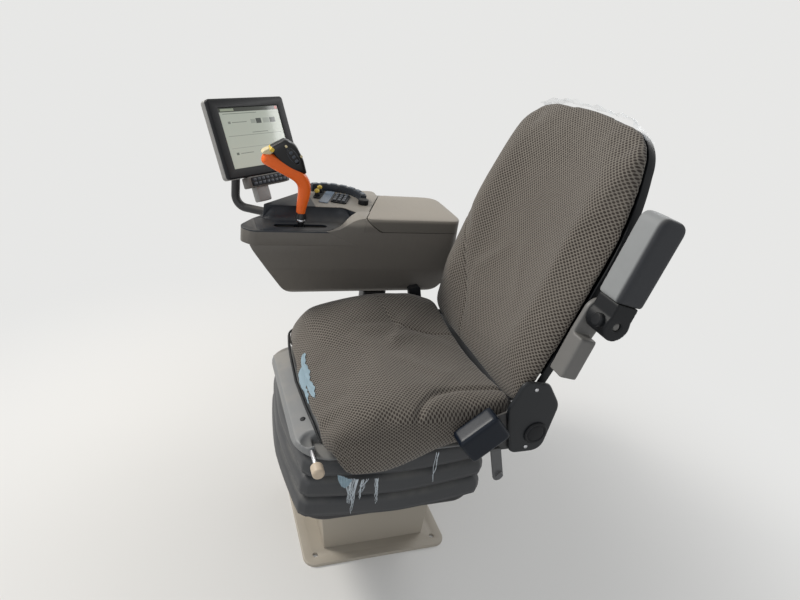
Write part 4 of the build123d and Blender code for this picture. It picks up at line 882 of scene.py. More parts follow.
@dataclass
class SeatCushion:
    """The seat's cushion: side rolls, a drooping front, low skirts and two seams."""

    shop: Workshop
    half: tuple = (
        (0.0, -0.200), (0.12, -0.194), (0.185, -0.187), (0.226, -0.178), (0.251, -0.154), (0.262, -0.105),
        (0.263, 0.0), (0.262, 0.07), (0.256, 0.15), (0.251, 0.2), (0.237, 0.228), (0.12, 0.2325),
        (0.0, 0.233),
    )
    top: float = 0.4795
    roll: float = 0.030
    far_roll: float = 0.036
    pan_z: float = 0.4225
    far_stretch: float = 1.028
    crest_x: float = 0.218
    bend_y: float = 0.094
    bend_z: float = 0.511
    seams: tuple = (
        ((-0.079, 0.235), (-0.084, 0.155), (-0.118, 0.075), (-0.215, 0.045), (-0.29, 0.03)),
        ((0.2, 0.235), (0.193, 0.17), (0.188, 0.12), (0.196, 0.07), (0.222, 0.03), (0.25, 0.008)),
    )
    seam_depths: tuple = (0.003, 0.0075)
    seam_widths: tuple = (0.003, 0.009)
    pinned: float = 0.006
    top_above: float = 0.44
    rim_z: float = 0.47
    sides: tuple = (-0.274, 0.2685)
    rear_low: tuple = (0.437, 0.2235)
    rear_high: float = 0.2335

    def front(self, x: np.ndarray, y: np.ndarray) -> np.ndarray:
        """Top: the lower of the dish between the side rolls and the side view's fall to the front."""
        away = np.abs(x) / self.crest_x
        dish = self.top + self.roll * np.minimum(away, 1) ** 2 - 0.2 * np.maximum(away - 1, 0) ** 2
        ahead = np.maximum(0.0, self.bend_y - y)
        far = eased_step(-x, 0.06, 0.225) * eased_step(y, -0.19, -0.125) * eased_step(-y, -0.25, -0.09)
        fall = self.bend_z - 0.0302 * ahead - 0.755 * ahead**2
        return lower_of(dish, fall) + self.far_roll * far

    def rear(self, x: np.ndarray, y: np.ndarray) -> np.ndarray:
        """Underside: level over the pan, lower beyond it, lowest under the side skirts."""
        step = eased_step(np.abs(x), 0.178, 0.198)
        skirt = eased_step(np.abs(x), 0.236, 0.25) * eased_step(y, -0.2, -0.12) * eased_step(-y, -0.1, 0.06)
        near = np.where(x > 0, 0.054, 0.046)
        return self.pan_z - 0.0345 * step - near * skirt + 0.012 * eased_step(y, 0.02, 0.2) * step

    def lip(self, outline: np.ndarray) -> None:
        """Dark edge of the pan, a tube that follows the cushion's front along its underside."""
        line = outline[(outline[:, 1] < -0.15) & (outline[:, 0] < 0.222)]
        line = line[np.argsort(line[:, 0])]
        share = np.linspace(-1, 1, len(line))
        level = 0.4205 - 0.012 * eased_step(line[:, 0], 0.15, 0.222)
        path = np.column_stack((line * (1.0, 1.012), level))
        points, faces = tube(path, 0.0036 * np.sqrt(1.02 - share**8), 10)
        self.shop.put("pan_lip", points, faces, "black_plastic", Body.SEAT, "black_plastic")

    def flap(self) -> None:
        """Dark flap that closes the crack between the cushion and the foot of the backrest, and paints the
        shade of that crease.
        """
        middle = np.array(((0.0, 0.2468, 0.4618),))
        half = (0.232, 0.0112, 0.0028)
        black = "black_plastic"
        # Black block in the crease: painted shade.
        self.shop.blocks("crease_shade_flap", middle, half, np.eye(3), black, Body.SEAT, black, 16.0)

    def build(self) -> Piece:
        """Make the cushion in the space of its CAD solid."""
        outline = closed_curve(self.half, 260)
        outline[:, 0] *= np.where(outline[:, 0] < 0, self.far_stretch, 1.0)
        self.lip(outline)
        self.flap()
        power = 5.0 + 13.0 * eased_step(outline[:, 1], 0.12, 0.2)
        form = PaddedForm(outline, self.front, self.rear, front_power=power, rear_power=9.0)
        points, faces = form.surface()
        paths = [curve_through(list(seam)) for seam in self.seams]

        def held(at: np.ndarray) -> np.ndarray:
            """Held on the underside and along the seams."""
            under = np.clip((self.rear(at[:, 0], at[:, 1]) + 0.012 - at[:, 2]) / 0.006, 0, 1)
            near = np.min([distance_to(path, at[:, 0], at[:, 1]) for path in paths], axis=0)
            seams = np.clip(1.3 - near / self.pinned, 0, 1) * (at[:, 2] > self.top_above)
            return np.max((under, seams, np.clip((at[:, 1] - 0.212) / 0.012, 0, 1)), axis=0)

        mesh = Stuffing().run(welded(points, faces, "cushion_cover"), held)
        at = read_points(mesh)
        for path, depth, width in zip(paths, self.seam_depths, self.seam_widths):
            near = distance_to(path, at[:, 0], at[:, 1])
            at[:, 2] -= depth * np.exp(-((near / width) ** 2)) * (at[:, 2] > self.top_above)
        level, low_y = self.rear_low
        at[:, 1] = np.minimum(at[:, 1], np.where(at[:, 2] < level, low_y, self.rear_high))
        at[:, 0] = np.clip(at[:, 0], *self.sides)
        write_points(mesh, at)
        self.shop.map_cloth(mesh, "cloth", form.unrolled(*at.T, self.rim_z))
        cloth = "seat_fabric"
        piece = self.shop.place(mesh, "cushion_cover", cloth, Body.SEAT, cloth, ("cushion",))
        return piece


@dataclass
class BackCushion:
    """The backrest's cushion, in its leaning plane: wings low down, a rolled head, one curved seam."""

    shop: Workshop
    half: tuple = (
        (0.0, -0.009), (0.1, -0.009), (0.188, -0.007), (0.236, 0.013), (0.257, 0.067), (0.266, 0.196),
        (0.2685, 0.33), (0.262, 0.452), (0.236, 0.562), (0.205, 0.612), (0.147, 0.638), (0.0, 0.6475),
    )
    crest_x: float = 0.176
    crest: float = 0.031
    centre: float = 0.005
    far_wing: float = 0.02
    far_stretch: float = 1.015
    edge: float = 0.038
    seam_depth: float = 0.003
    seam_width: float = 0.003
    pinned: float = 0.006
    face_above: float = -0.005
    shell_out: float = -0.0138
    lowest: float = -0.0139
    seam: tuple = (
        (-0.275, 0.285), (-0.24, 0.282), (-0.194, 0.251), (-0.155, 0.19), (-0.118, 0.131), (-0.09, 0.08),
        (-0.065, 0.0),
    )

    def front(self, x: np.ndarray, up: np.ndarray) -> np.ndarray:
        """Front: the lower of the section, with a crest a side, and the side view, low at both ends."""
        away = np.abs(x) / self.crest_x
        inside = self.centre + (self.crest - self.centre) * np.minimum(away, 1) ** 2
        section = inside - self.edge * np.maximum((np.abs(x) - self.crest_x) / 0.095, 0) ** 3
        head = np.maximum(0.0, up - 0.392)
        rise = np.where(up < 0.13, 0.003 + 0.252 * up, 0.0358)
        rise = rise - 0.009 * eased_step(-up, -0.022, 0.009)
        far = eased_step(-x, 0.1, 0.2) * eased_step(up, 0.05, 0.16) * eased_step(-up, -0.62, -0.3)
        return lower_of(section, rise + 0.06 * head - 0.72 * head**2, 0.003) + self.far_wing * far

    def rear(self, x: np.ndarray, up: np.ndarray) -> np.ndarray:
        """Rear: flat against the shell."""
        return np.full(x.shape, self.shell_out)

    def build(self) -> Piece:
        """Make the cushion in the space of its CAD solid."""
        outline = closed_curve(self.half, 280)
        outline[:, 0] *= np.where(outline[:, 0] < 0, self.far_stretch, 1.0)
        power = 4.8 + 6.0 * eased_step(-outline[:, 1], -0.1, -0.02)
        form = PaddedForm(outline, self.front, self.rear, power, 9.0, rings=100)
        points, faces = form.surface()
        path = curve_through(list(self.seam))

        def held(at: np.ndarray) -> np.ndarray:
            """Held on the rear face and along the seam."""
            own = (at - BACK_FOOT) @ BACK_AXES.T
            under = np.clip((-0.008 - own[:, 2]) / 0.004, 0, 1)
            near = distance_to(path, own[:, 0], own[:, 1])
            seams = np.clip(1.3 - near / self.pinned, 0, 1) * (own[:, 2] > self.face_above)
            return np.max((under, seams, np.clip((0.05 - own[:, 1]) / 0.03, 0, 1)), axis=0)

        mesh = Stuffing(cap=0.0065).run(welded(BACK_FOOT + points @ BACK_AXES, faces, "back_cover"), held)
        own = (read_points(mesh) - BACK_FOOT) @ BACK_AXES.T
        near = distance_to(path, own[:, 0], own[:, 1])
        dent = self.seam_depth * np.exp(-((near / self.seam_width) ** 2))
        own[:, 2] -= dent * (own[:, 2] > self.face_above)
        own[:, 2] = np.maximum(own[:, 2], self.lowest)
        write_points(mesh, BACK_FOOT + own @ BACK_AXES)
        self.shop.map_cloth(mesh, "cloth", form.unrolled(*own.T, 0.0))
        cloth = "seat_fabric"
        piece = self.shop.place(mesh, "back_cover", cloth, Body.BACK, cloth, ("back_cushion",))
        return piece


@dataclass
class Bellows:
    """Rubber bellows: rounded square folds with flat faces, thin lips and tight grooves."""

    shop: Workshop
    half: float = 0.2395
    corner: float = 0.092
    groove: float = 0.021
    fold_power: float = 3.6
    corner_power: float = 1.6
    corner_reach: float = 1.6
    lip_height: float = 0.0035
    lip_at: float = 0.13
    lip_width: float = 0.045
    taper: float = 0.0045
    swell: float = 0.0055
    sag: float = 0.0016
    folds: int = 3
    rows_a_fold: int = 26
    columns: int = 240

    def build(self) -> Piece:
        """Sweep the folds round a rounded square; the inset is a high power of the place in the fold."""
        low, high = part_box("bellows")
        share = np.linspace(0, self.folds, self.folds * self.rows_a_fold + 1)
        part = share % 1.0
        inside = np.abs(2 * part - 1)
        inside[-1] = 1.0
        inset = self.groove * inside**self.fold_power + 0.004 * part
        lip = self.lip_height * np.exp(-((part - self.lip_at) / self.lip_width) ** 2)
        lip = lip - self.taper * share / self.folds + self.swell
        angle = np.linspace(0, tau, self.columns, endpoint=False)
        flat = self.half - self.corner
        direction = np.stack((np.cos(angle), np.sin(angle)), axis=-1)
        level = low.z + (high.z - low.z) * share / self.folds
        size = (self.half - inset + lip)[:, None]
        straight = np.minimum(1.0, np.abs(direction) * self.corner_reach) ** self.corner_power
        square = np.sign(direction) * straight
        x = square[:, 0] * flat + direction[:, 0] * (size - flat)
        y = square[:, 1] * flat + direction[:, 1] * (size - flat)
        sag = self.sag * np.sin(3 * angle + 1.7 * level[:, None] * 40)
        z = np.broadcast_to(level[:, None], x.shape) + sag * (1 - inside[:, None])
        points = np.stack((x, y, z), axis=-1).reshape(-1, 3)
        return self.shop.put(
            "bellows_folds", points, ring_faces(len(share), self.columns), "bellows_rubber", Body.BASE,
            replaces=("bellows",),
        )


@dataclass
class Fittings:
    """Mouldings and metal parts that keep the solids' shape, with softer edges, and their screws.

    A soft row is (node, finish, voxel, passes, slot), a hard one (width, finish, slot, nodes).
    """

    shop: Workshop
    cover_x: float = 0.2835
    disc_at: tuple[float, float] = (0.282, 0.436)
    soft: tuple = (
        ("suspension_cover", "cover_plastic", 0.0026, 9, "grey_plastic"),
        ("lever_knob", "beige_plastic", 0.0012, 6, None),
        ("belt_retractor", "gloss_plastic", 0.002, 30, "black_plastic"),
        ("side_cover_left", "side_plastic", 0.0022, 14, "black_plastic"),
        ("side_cover_right", "black_plastic", 0.0022, 5, None),
        ("armrest_pad", "armrest_foam", 0.0028, 30, None),
        ("armrest_core", "black_plastic", 0.0022, 4, "grey_plastic"),
        ("armrest_bracket", "grey_plastic", 0.0022, 14, None),
    )
    hard: tuple = (
        (0.0012, "pedestal_paint", None, ("floor_plate",)),
        (0.003, "pedestal_paint", None, ("pedestal",)),
        (0.003, "black_steel", None, ("suspension_tray",)),
        (0.001, "bright_steel", None, ("height_lever",)),
        (0.0008, "strip_steel", "bright_steel", ("belt_anchor",)),
        (0.003, "black_plastic", None, ("belt_buckle",)),
        (0.0008, "black_steel", None, ("side_plate_left", "side_plate_right", "cross_member")),
        (0.0012, "black_steel", None, ("recliner_arm_left", "recliner_arm_right")),
        (0.0012, "black_plastic", None, ("armrest_knob",)),
        (0.0014, "black_plastic", None, ("back_shell",)),
        (0.003, "rim_plastic", "console_plastic", ("console_tub",)),
        (0.004, "surround_plastic", "console_plastic", ("deck_surround",)),
        (0.005, "panel_plastic", "console_plastic", ("button_panel",)),
        (0.004, "console_plastic", None, ("console_ledge",)),
        (0.0012, "deck_plastic", None, ("console_deck",)),
        (0.0012, "ridge_plastic", "deck_plastic", ("key_ridge",)),
        (0.0012, "strip_plastic", "deck_plastic", ("touch_strip",)),
        (0.001, "black_plastic", None, ("keypad", "toggles", "dial", "handle_bearing")),
        (0.0015, "black_steel", None, ("console_bracket", "console_post")),
        (0.001, "handle_black", None, ("handle_shaft",)),
        (0.0015, "black_plastic", None, ("display_bezel",)),
        (0.003, "display_grey", None, ("display_housing",)),
        (0.0012, "arm_grey", "display_grey", ("display_hinge",)),
    )
    slot: tuple = ((0.0001, 0.0006), (0.004, 0.0006), (0.006, 0.0004), (0.0062, -0.001), (0.0001, -0.001))
    disc: tuple = (
        (0.0001, 0.0055), (0.016, 0.0055), (0.019, 0.0048), (0.02, 0.0035), (0.0215, 0.0035),
        (0.0228, 0.0052), (0.0262, 0.0052), (0.0278, 0.003), (0.028, -0.001), (0.0001, -0.001),
    )
    head: tuple = ((0.0001, 0.0026), (0.003, 0.0023), (0.0046, 0.001), (0.005, -0.0006), (0.0001, -0.0006))

    def build(self) -> None:
        """Soften the mouldings, ease the rest, and add the cover's slot as a black disc of painted shade, the
        joint's disc and the screws.
        """
        shop, black, steel = self.shop, "black_plastic", "bright_steel"
        for node, finish, voxel, passes, slot in self.soft:
            shop.melted(node, finish, voxel, passes, slot)
        for width, finish, slot, nodes in self.hard:
            for node in nodes:
                shop.eased(node, finish, width, slot)
        # The display arm in the darkened grey: painted shade.
        shop.eased("display_arm", "arm_painted_shade", 0.0012, "display_grey", limit=60.0)
        lean, out = (0, -0.37, 0.93), (1, 0, 0)
        # Black disc on the cover where its slot is: painted shade inside the hole.
        shop.turned("cover_slot", self.slot, (0.118, -0.2063, 0.4005), lean, black, Body.BASE, black)
        place = (self.cover_x, *self.disc_at)
        shop.turned("joint_disc", self.disc, place, out, black, Body.SEAT, black, 48)
        for name, y, z in (("low", 0.268, 0.398), ("high", 0.256, 0.552)):
            place = (self.cover_x, y, z)
            shop.turned(f"cover_screw_{name}", self.head, place, out, steel, Body.SEAT, steel, 20)


@dataclass
class Console:
    """Control console: hollow beside the handle, hinged arm pad and the controls."""

    shop: Workshop
    near_x: float = -0.286
    pad_far_x: float = -0.510
    pad_near_y: float = 0.016
    pad_skew: float = 0.4554
    deck_z: float = 0.690
    panel_z: float = 0.724
    lid_run: float = 0.052
    lid_rise: float = 0.037
    lid_power: float = 1.35
    pad_top: float = 0.7296
    pad_rear_y: float = 0.3
    cove_reach: float = 0.030
    control_at: Point = (-0.466, -0.014, 0.724)
    control_turn: float = radians(-23)
    deck: tuple = (
        (-0.291, -0.268), (-0.291, -0.090), (-0.3102, -0.042), (-0.346, 0.006), (-0.387, -0.026),
        (-0.387, -0.268),
    )
    deck_radii: tuple = (0.014, 0.018, 0.02, 0.008, 0.03, 0.014)
    rim: tuple = ((-0.09, 0.0), (-0.06, 0.005), (-0.036, 0.018), (-0.013, 0.032), (0.013, 0.037))

    def seam_height(self, x: np.ndarray, y: np.ndarray) -> np.ndarray:
        """Height of the pad's seam: from its rise at the skewed front edge down to the deck over its run."""
        behind = y - (self.pad_near_y + (self.near_x - x) * self.pad_skew)
        return self.deck_z + self.lid_rise * (1 - np.clip(behind / self.lid_run, 0, 1)) ** self.lid_power

    def arm_pad(self) -> None:
        """The padded lid over the rear half, and the body's collar under its curved front seam."""
        far_y = self.pad_near_y + (self.near_x - self.pad_far_x) * self.pad_skew

        def crown(x: np.ndarray, y: np.ndarray) -> np.ndarray:
            """Top of the lid, a little higher in its middle."""
            along, across = 1 - ((y - 0.17) / 0.15) ** 2, 1 - ((x + 0.398) / 0.112) ** 2
            return self.pad_top + 0.0035 * along * across

        near_x, far_x, near_y, rear_y = self.near_x, self.pad_far_x, self.pad_near_y, self.pad_rear_y
        corners = ((near_x, near_y), (near_x, rear_y), (far_x, rear_y), (far_x, far_y))
        lid = rounded_loop(corners, (0.016, 0.04, 0.045, 0.026), 320)
        form = PaddedForm(lid, crown, self.seam_height, 11.0, 30.0, rings=120)
        name, finish = "arm_lid", "pad_plastic"
        piece = self.shop.shell(name, *form.surface(), finish, Body.CONSOLE, finish, ("arm_pad",))

        def under(x: np.ndarray, y: np.ndarray) -> np.ndarray:
            """Just under the lid's seam."""
            return self.seam_height(x, y) - 0.0017

        rear = self.lid_run + 0.004
        front = -0.0035
        corners = (
            (near_x, near_y + front), (near_x, near_y + rear), (far_x, far_y + rear), (far_x, far_y + front)
        )
        skirt = rounded_loop(corners, (0.001,) * 4, 320)
        base = self.deck_z - 0.002
        form = PaddedForm(skirt, under, lambda x, y: np.full(x.shape, base), 60.0, 60.0, rings=60)
        self.shop.shell(
            "pad_collar", *form.surface(), "rim_plastic", Body.CONSOLE, "console_plastic", ("arm_pad",),
            smooth=False,
        )

    def hollow(self) -> None:
        """Cove round the hollow: from the wall's top it falls in a quarter ellipse to the deck."""
        line = rounded_loop(self.deck, self.deck_radii, 300)
        tangent = np.roll(line, -1, axis=0) - np.roll(line, 1, axis=0)
        inward = np.stack((-tangent[:, 1], tangent[:, 0]), axis=-1)
        inward /= np.linalg.norm(inward, axis=1, keepdims=True)
        if ((line.mean(axis=0) - line) * inward).sum() < 0:
            inward = -inward
        x, y = line.T
        wall = (self.panel_z - self.deck_z - 0.0012) * eased_step(-x, 0.352, 0.378)
        wall = wall * eased_step(y, -0.25, -0.215)
        swoop = np.interp(y, *np.array(self.rim).T) * 0.94 * eased_step(x, -0.37, -0.35)
        high = np.maximum(np.maximum(wall, swoop), 0.0006)
        reach = np.minimum(self.cove_reach, 1.1 * high + 0.003)
        turn = np.linspace(0, pi / 2, 12)[:, None]
        out = np.vstack((reach * (1 - np.cos(turn)), np.zeros_like(x)[None]))
        up = np.vstack((high * (1 - np.sin(turn)), np.full_like(x, -0.0012)[None])) + self.deck_z
        points = np.concatenate((line + out[..., None] * inward, up[..., None]), axis=-1)
        rows = len(out)
        faces = ring_faces(rows + 1, len(line)) % (rows * len(line))
        piece = self.shop.shell(
            "deck_hollow", points.reshape(-1, 3), faces, "deck_plastic", Body.CONSOLE, "deck_plastic"
        )
        piece.modifiers.new("split", "EDGE_SPLIT").split_angle = radians(50)

    def controls(self) -> None:
        """Key caps of the keypad, and yellow toggle knobs on dark skirts."""
        cos_turn, sin_turn = cos(self.control_turn), sin(self.control_turn)
        axes = np.array(((cos_turn, sin_turn, 0.0), (-sin_turn, cos_turn, 0.0), (0.0, 0.0, 1.0)))
        column, row = np.meshgrid((np.arange(4) - 1.5) * 0.019, (np.arange(3) - 1) * 0.013)
        spots = np.stack((column.ravel(), row.ravel(), np.full(12, 0.0065)), axis=-1)
        centres = np.array(self.control_at) + spots @ axes
        half, side = (0.0072, 0.0042, 0.0018), Body.CONSOLE
        self.shop.blocks("pad_keys", centres, half, axes, "key_plastic", side, "deck_plastic", 6.0)
        knob = (
            (0.0001, 0.021), (0.004, 0.0206), (0.0066, 0.0185), (0.0074, 0.0155), (0.0066, 0.0125),
            (0.0056, 0.0115), (0.0001, 0.0115),
        )
        skirt = (
            (0.0001, 0.0118), (0.0054, 0.0118), (0.0062, 0.009), (0.0082, 0.003), (0.0085, 0.0),
            (0.0001, 0.0),
        )
        lean = (0.12, -0.2, 1.0)
        for name, along in (("left", -0.028), ("right", 0.012)):
            spot = tuple(np.array(self.control_at) + np.array((along, -0.066, 0.004)) @ axes)
            for part, profile, finish in (("cap", knob, "yellow_plastic"), ("skirt", skirt, "black_plastic")):
                self.shop.turned(f"toggle_{part}_{name}", profile, spot, lean, finish, side, "black_plastic")

    def build(self) -> None:
        """Make the console's pieces."""
        self.arm_pad()
        self.hollow()
        self.controls()


@dataclass
class DriveHandle:
    """Drive handle: orange grip, black thumb panel with its buttons, and the neck in the deck's slot."""

    shop: Workshop
    pivot: Point = (-0.330, -0.152, 0.604)
    bulge: float = 1.4

    def spot(self, x: float, along: float, up: float) -> np.ndarray:
        """Point of the handle from its offsets in metres from the pivot."""
        return np.array(self.pivot) + (x, along, up)

    def grip(self) -> None:
        """Grip: superellipse sections square to a curved middle line, drawn in to round ends."""
        knots = (
            (-0.0025, 0.120), (-0.0015, 0.134), (0.001, 0.155), (0.0035, 0.178), (0.0, 0.201),
            (-0.0145, 0.2195), (-0.0395, 0.234), (-0.065, 0.2465), (-0.088, 0.258), (-0.1075, 0.2655),
        )
        wide = (0.0112, 0.0122, 0.0142, 0.0158, 0.0168, 0.0170, 0.0168, 0.0170, 0.0168, 0.0150)
        thick = (0.0125, 0.0132, 0.0152, 0.0172, 0.019, 0.0205, 0.0215, 0.0215, 0.0205, 0.0175)
        line = curve_through(list(knots), 110)
        run = np.gradient(line, axis=0)
        run /= np.linalg.norm(run, axis=1, keepdims=True)
        normal = np.stack((-run[:, 1], run[:, 0]), axis=-1)
        share = np.linspace(0, len(knots) - 1, len(line))
        gone, left = (np.linalg.norm(line - line[end], axis=1) for end in (0, -1))
        round_end = np.sqrt(np.clip(1 - ((0.012 - left) / 0.012).clip(0) ** 2.4, 0.0004, 1))
        start = np.sqrt(np.clip(1 - ((0.003 - gone) / 0.003).clip(0) ** 2, 0.6, 1))
        halves = [np.interp(share, np.arange(len(knots)), half) * round_end * start for half in (wide, thick)]
        angle = np.linspace(0, tau, 48, endpoint=False)
        power = 2 / 2.7
        rise = np.sign(np.sin(angle)) * np.abs(np.sin(angle)) ** power * halves[0][:, None]
        out = np.sign(np.cos(angle)) * np.abs(np.cos(angle)) ** power * halves[1][:, None]
        flat = line[:, None] + rise[..., None] * normal[:, None]
        points = np.array(self.pivot) + np.concatenate((out[..., None], flat), axis=-1)
        faces = ring_faces(len(line), len(angle))
        orange = "handle_orange"
        piece = self.shop.shell(
            "grip_shell", points.reshape(-1, 3), faces, orange, Body.HANDLE, orange, ("handle_grip",)
        )
        self.shop.rounded(piece, 0.0008, 50.0)

    def lens(
        self, name: str, corners: tuple, radius: float, half: float, finish: str, replaces: tuple = ()
    ) -> None:
        """Flat-sided piece of the head: a rounded outline in the handle's plane, half to either side."""
        outline = rounded_loop(corners, (radius,) * len(corners), 160)
        middle = outline.mean(axis=0)

        def cheek(along: np.ndarray, up: np.ndarray) -> np.ndarray:
            """Side face, a little proud in its middle."""
            return half - self.bulge * ((along - middle[0]) ** 2 + (up - middle[1]) ** 2)

        form = PaddedForm(outline, cheek, lambda along, up: -cheek(along, up), 6.0, 6.0, rings=48)
        points, faces = form.surface()
        points = points[:, (2, 0, 1)] + self.pivot
        self.shop.shell(name, points, faces, finish, Body.HANDLE, "handle_black", replaces)

    def buttons(self) -> None:
        """Rocker on the near cheek with a thin lighter rim, a painted highlight of its edge, and small
        buttons on cheek, crown and slope.
        """
        shop = self.shop
        slope = np.array(((1.0, 0.0, 0.0), (0.0, 0.525, -0.851), (0.0, 0.851, 0.525)))
        crown = np.array(((1.0, 0.0, 0.0), (0.0, 0.894, -0.447), (0.0, 0.447, 0.894)))
        cheek = np.array(((0.0, -0.62, 0.785), (0.0, 0.785, 0.62), (1.0, 0.0, 0.0)))
        middle = self.spot(0.0198, -0.0335, 0.2735)
        small = [middle + np.array((shift, 0.0, 0.0042)) @ cheek for shift in (-0.0135, -0.001, 0.0115)]
        marks = [self.spot(0.0194, *place) for place in ((-0.052, 0.2965), (-0.0135, 0.2745))]
        rows = [(x, s) for x in (-0.009, 0.008) for s in (-0.010, 0.008)]
        rear = [self.spot(x, -0.0205 + 0.525 * s, 0.2795 - 0.851 * s) for x, s in rows]
        top = [self.spot(x, -0.0435, 0.3045) for x in (-0.010, 0.009)]
        for name, spots, half, axes, finish, power in (
            ("thumb_rocker", [middle], (0.0235, 0.0095, 0.0042), cheek, "handle_black", 2.8),
            ("rocker_buttons", small, (0.0042, 0.0046, 0.0016), cheek, "key_plastic", 2.8),
            ("cheek_buttons", marks, (0.0034, 0.0028, 0.0020), cheek, "cream_plastic", 3.0),
            ("thumb_buttons_rear", rear, (0.0052, 0.0048, 0.0026), slope, "button_grey", 3.2),
            ("thumb_buttons_top", top, (0.006, 0.0062, 0.0026), crown, "button_grey", 3.2),
        ):
            shop.blocks(name, np.array(spots), half, axes, finish, Body.HANDLE, "handle_black", power)
        # Thin lighter tube round the rocker's edge: a painted highlight.
        turn = np.linspace(0, tau, 60)
        rim = np.stack((0.0238 * np.cos(turn), 0.0098 * np.sin(turn), np.full(60, 0.0012)), axis=-1)
        points, faces = tube(rim @ cheek + middle, 0.0008, 8)
        shop.put("rocker_highlight_rim", points, faces, "key_plastic", Body.HANDLE, "handle_black")

    def build(self) -> None:
        """Make the grip, the thumb panel, the pale wedge of the tip and the neck."""
        self.grip()
        thumb = (
            (0.006, 0.228), (-0.03, 0.229), (-0.056, 0.25), (-0.078, 0.27), (-0.0905, 0.291),
            (-0.054, 0.3125), (-0.026, 0.299), (-0.006, 0.265),
        )
        self.lens("thumb_shell", thumb, 0.0065, 0.0205, "handle_black", ("handle_thumb_panel",))
        wedge = ((-0.1105, 0.274), (-0.1065, 0.2815), (-0.0915, 0.2895), (-0.082, 0.277), (-0.09, 0.270))
        self.lens("tip_wedge", wedge, 0.0035, 0.0150, "cream_plastic")
        block = ((-0.093, 0.284), (-0.087, 0.2925), (-0.0775, 0.287), (-0.082, 0.278))
        self.lens("tip_switch", block, 0.002, 0.0184, "yellow_plastic")
        self.buttons()
        clip = ((0.0098, 0.0), (0.0112, 0.0006), (0.0112, 0.0088), (0.0098, 0.0094))
        place = tuple(self.spot(0, 0, 0.0962))
        self.shop.turned("neck_clip", clip, place, (0, 0, 1), "bright_steel", Body.HANDLE, "bright_steel", 32)


@dataclass
class Display:
    """Touch display on its arm, with the key module below it."""

    shop: Workshop
    centre: Point = (-0.484, -0.2545, 0.8857)
    turn: float = radians(51.7)
    tip: float = radians(25.5)
    screen: tuple[float, float] = (0.2114, 0.1544)

    def axes(self) -> np.ndarray:
        """Rows: across the screen, up the screen and out of it."""
        across = np.array((-cos(self.turn), sin(self.turn), 0.0))
        out = np.array((sin(self.turn) * cos(self.tip), cos(self.turn) * cos(self.tip), sin(self.tip)))
        return np.stack((across, np.cross(out, across), out))

    def build(self) -> None:
        """Map the screen and build the key module: its block, face, keys and foot."""
        shop = self.shop
        face = shop.copied("display_screen", "display_glass", "screen_face", "display_glass")
        own = (read_points(face.data) - np.array(self.centre)) @ self.axes().T
        shop.map_cloth(face.data, "screen", own[:, :2] / self.screen + 0.5)
        shop.rounded(face, 0.0006)
        column, row = np.meshgrid((np.arange(8) - 3.5) * 0.0155, (-0.1217, -0.1113))
        keys = np.stack((column.ravel(), row.ravel(), np.full(16, 0.0036)), axis=-1)
        grey, black = "display_grey", "black_plastic"
        for name, places, half, finish, slot, power in (
            ("key_module", [(0.0, -0.1165, -0.011)], (0.0758, 0.0148, 0.0128), "arm_grey", grey, 14.0),
            ("key_face", [(0.0, -0.1165, 0.0015)], (0.0655, 0.0118, 0.0018), black, black, 16.0),
            ("module_keys", keys, (0.0058, 0.0037, 0.0014), "key_plastic", black, 4.0),
            ("module_foot", [(-0.026, -0.149, -0.015)], (0.023, 0.022, 0.0105), grey, grey, 9.0),
        ):
            spots = np.array(self.centre) + np.array(places) @ self.axes()
            piece = shop.blocks(name, spots, half, self.axes(), finish, Body.DISPLAY, slot, power)
            if name == "key_module":
                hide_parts("display_keys")


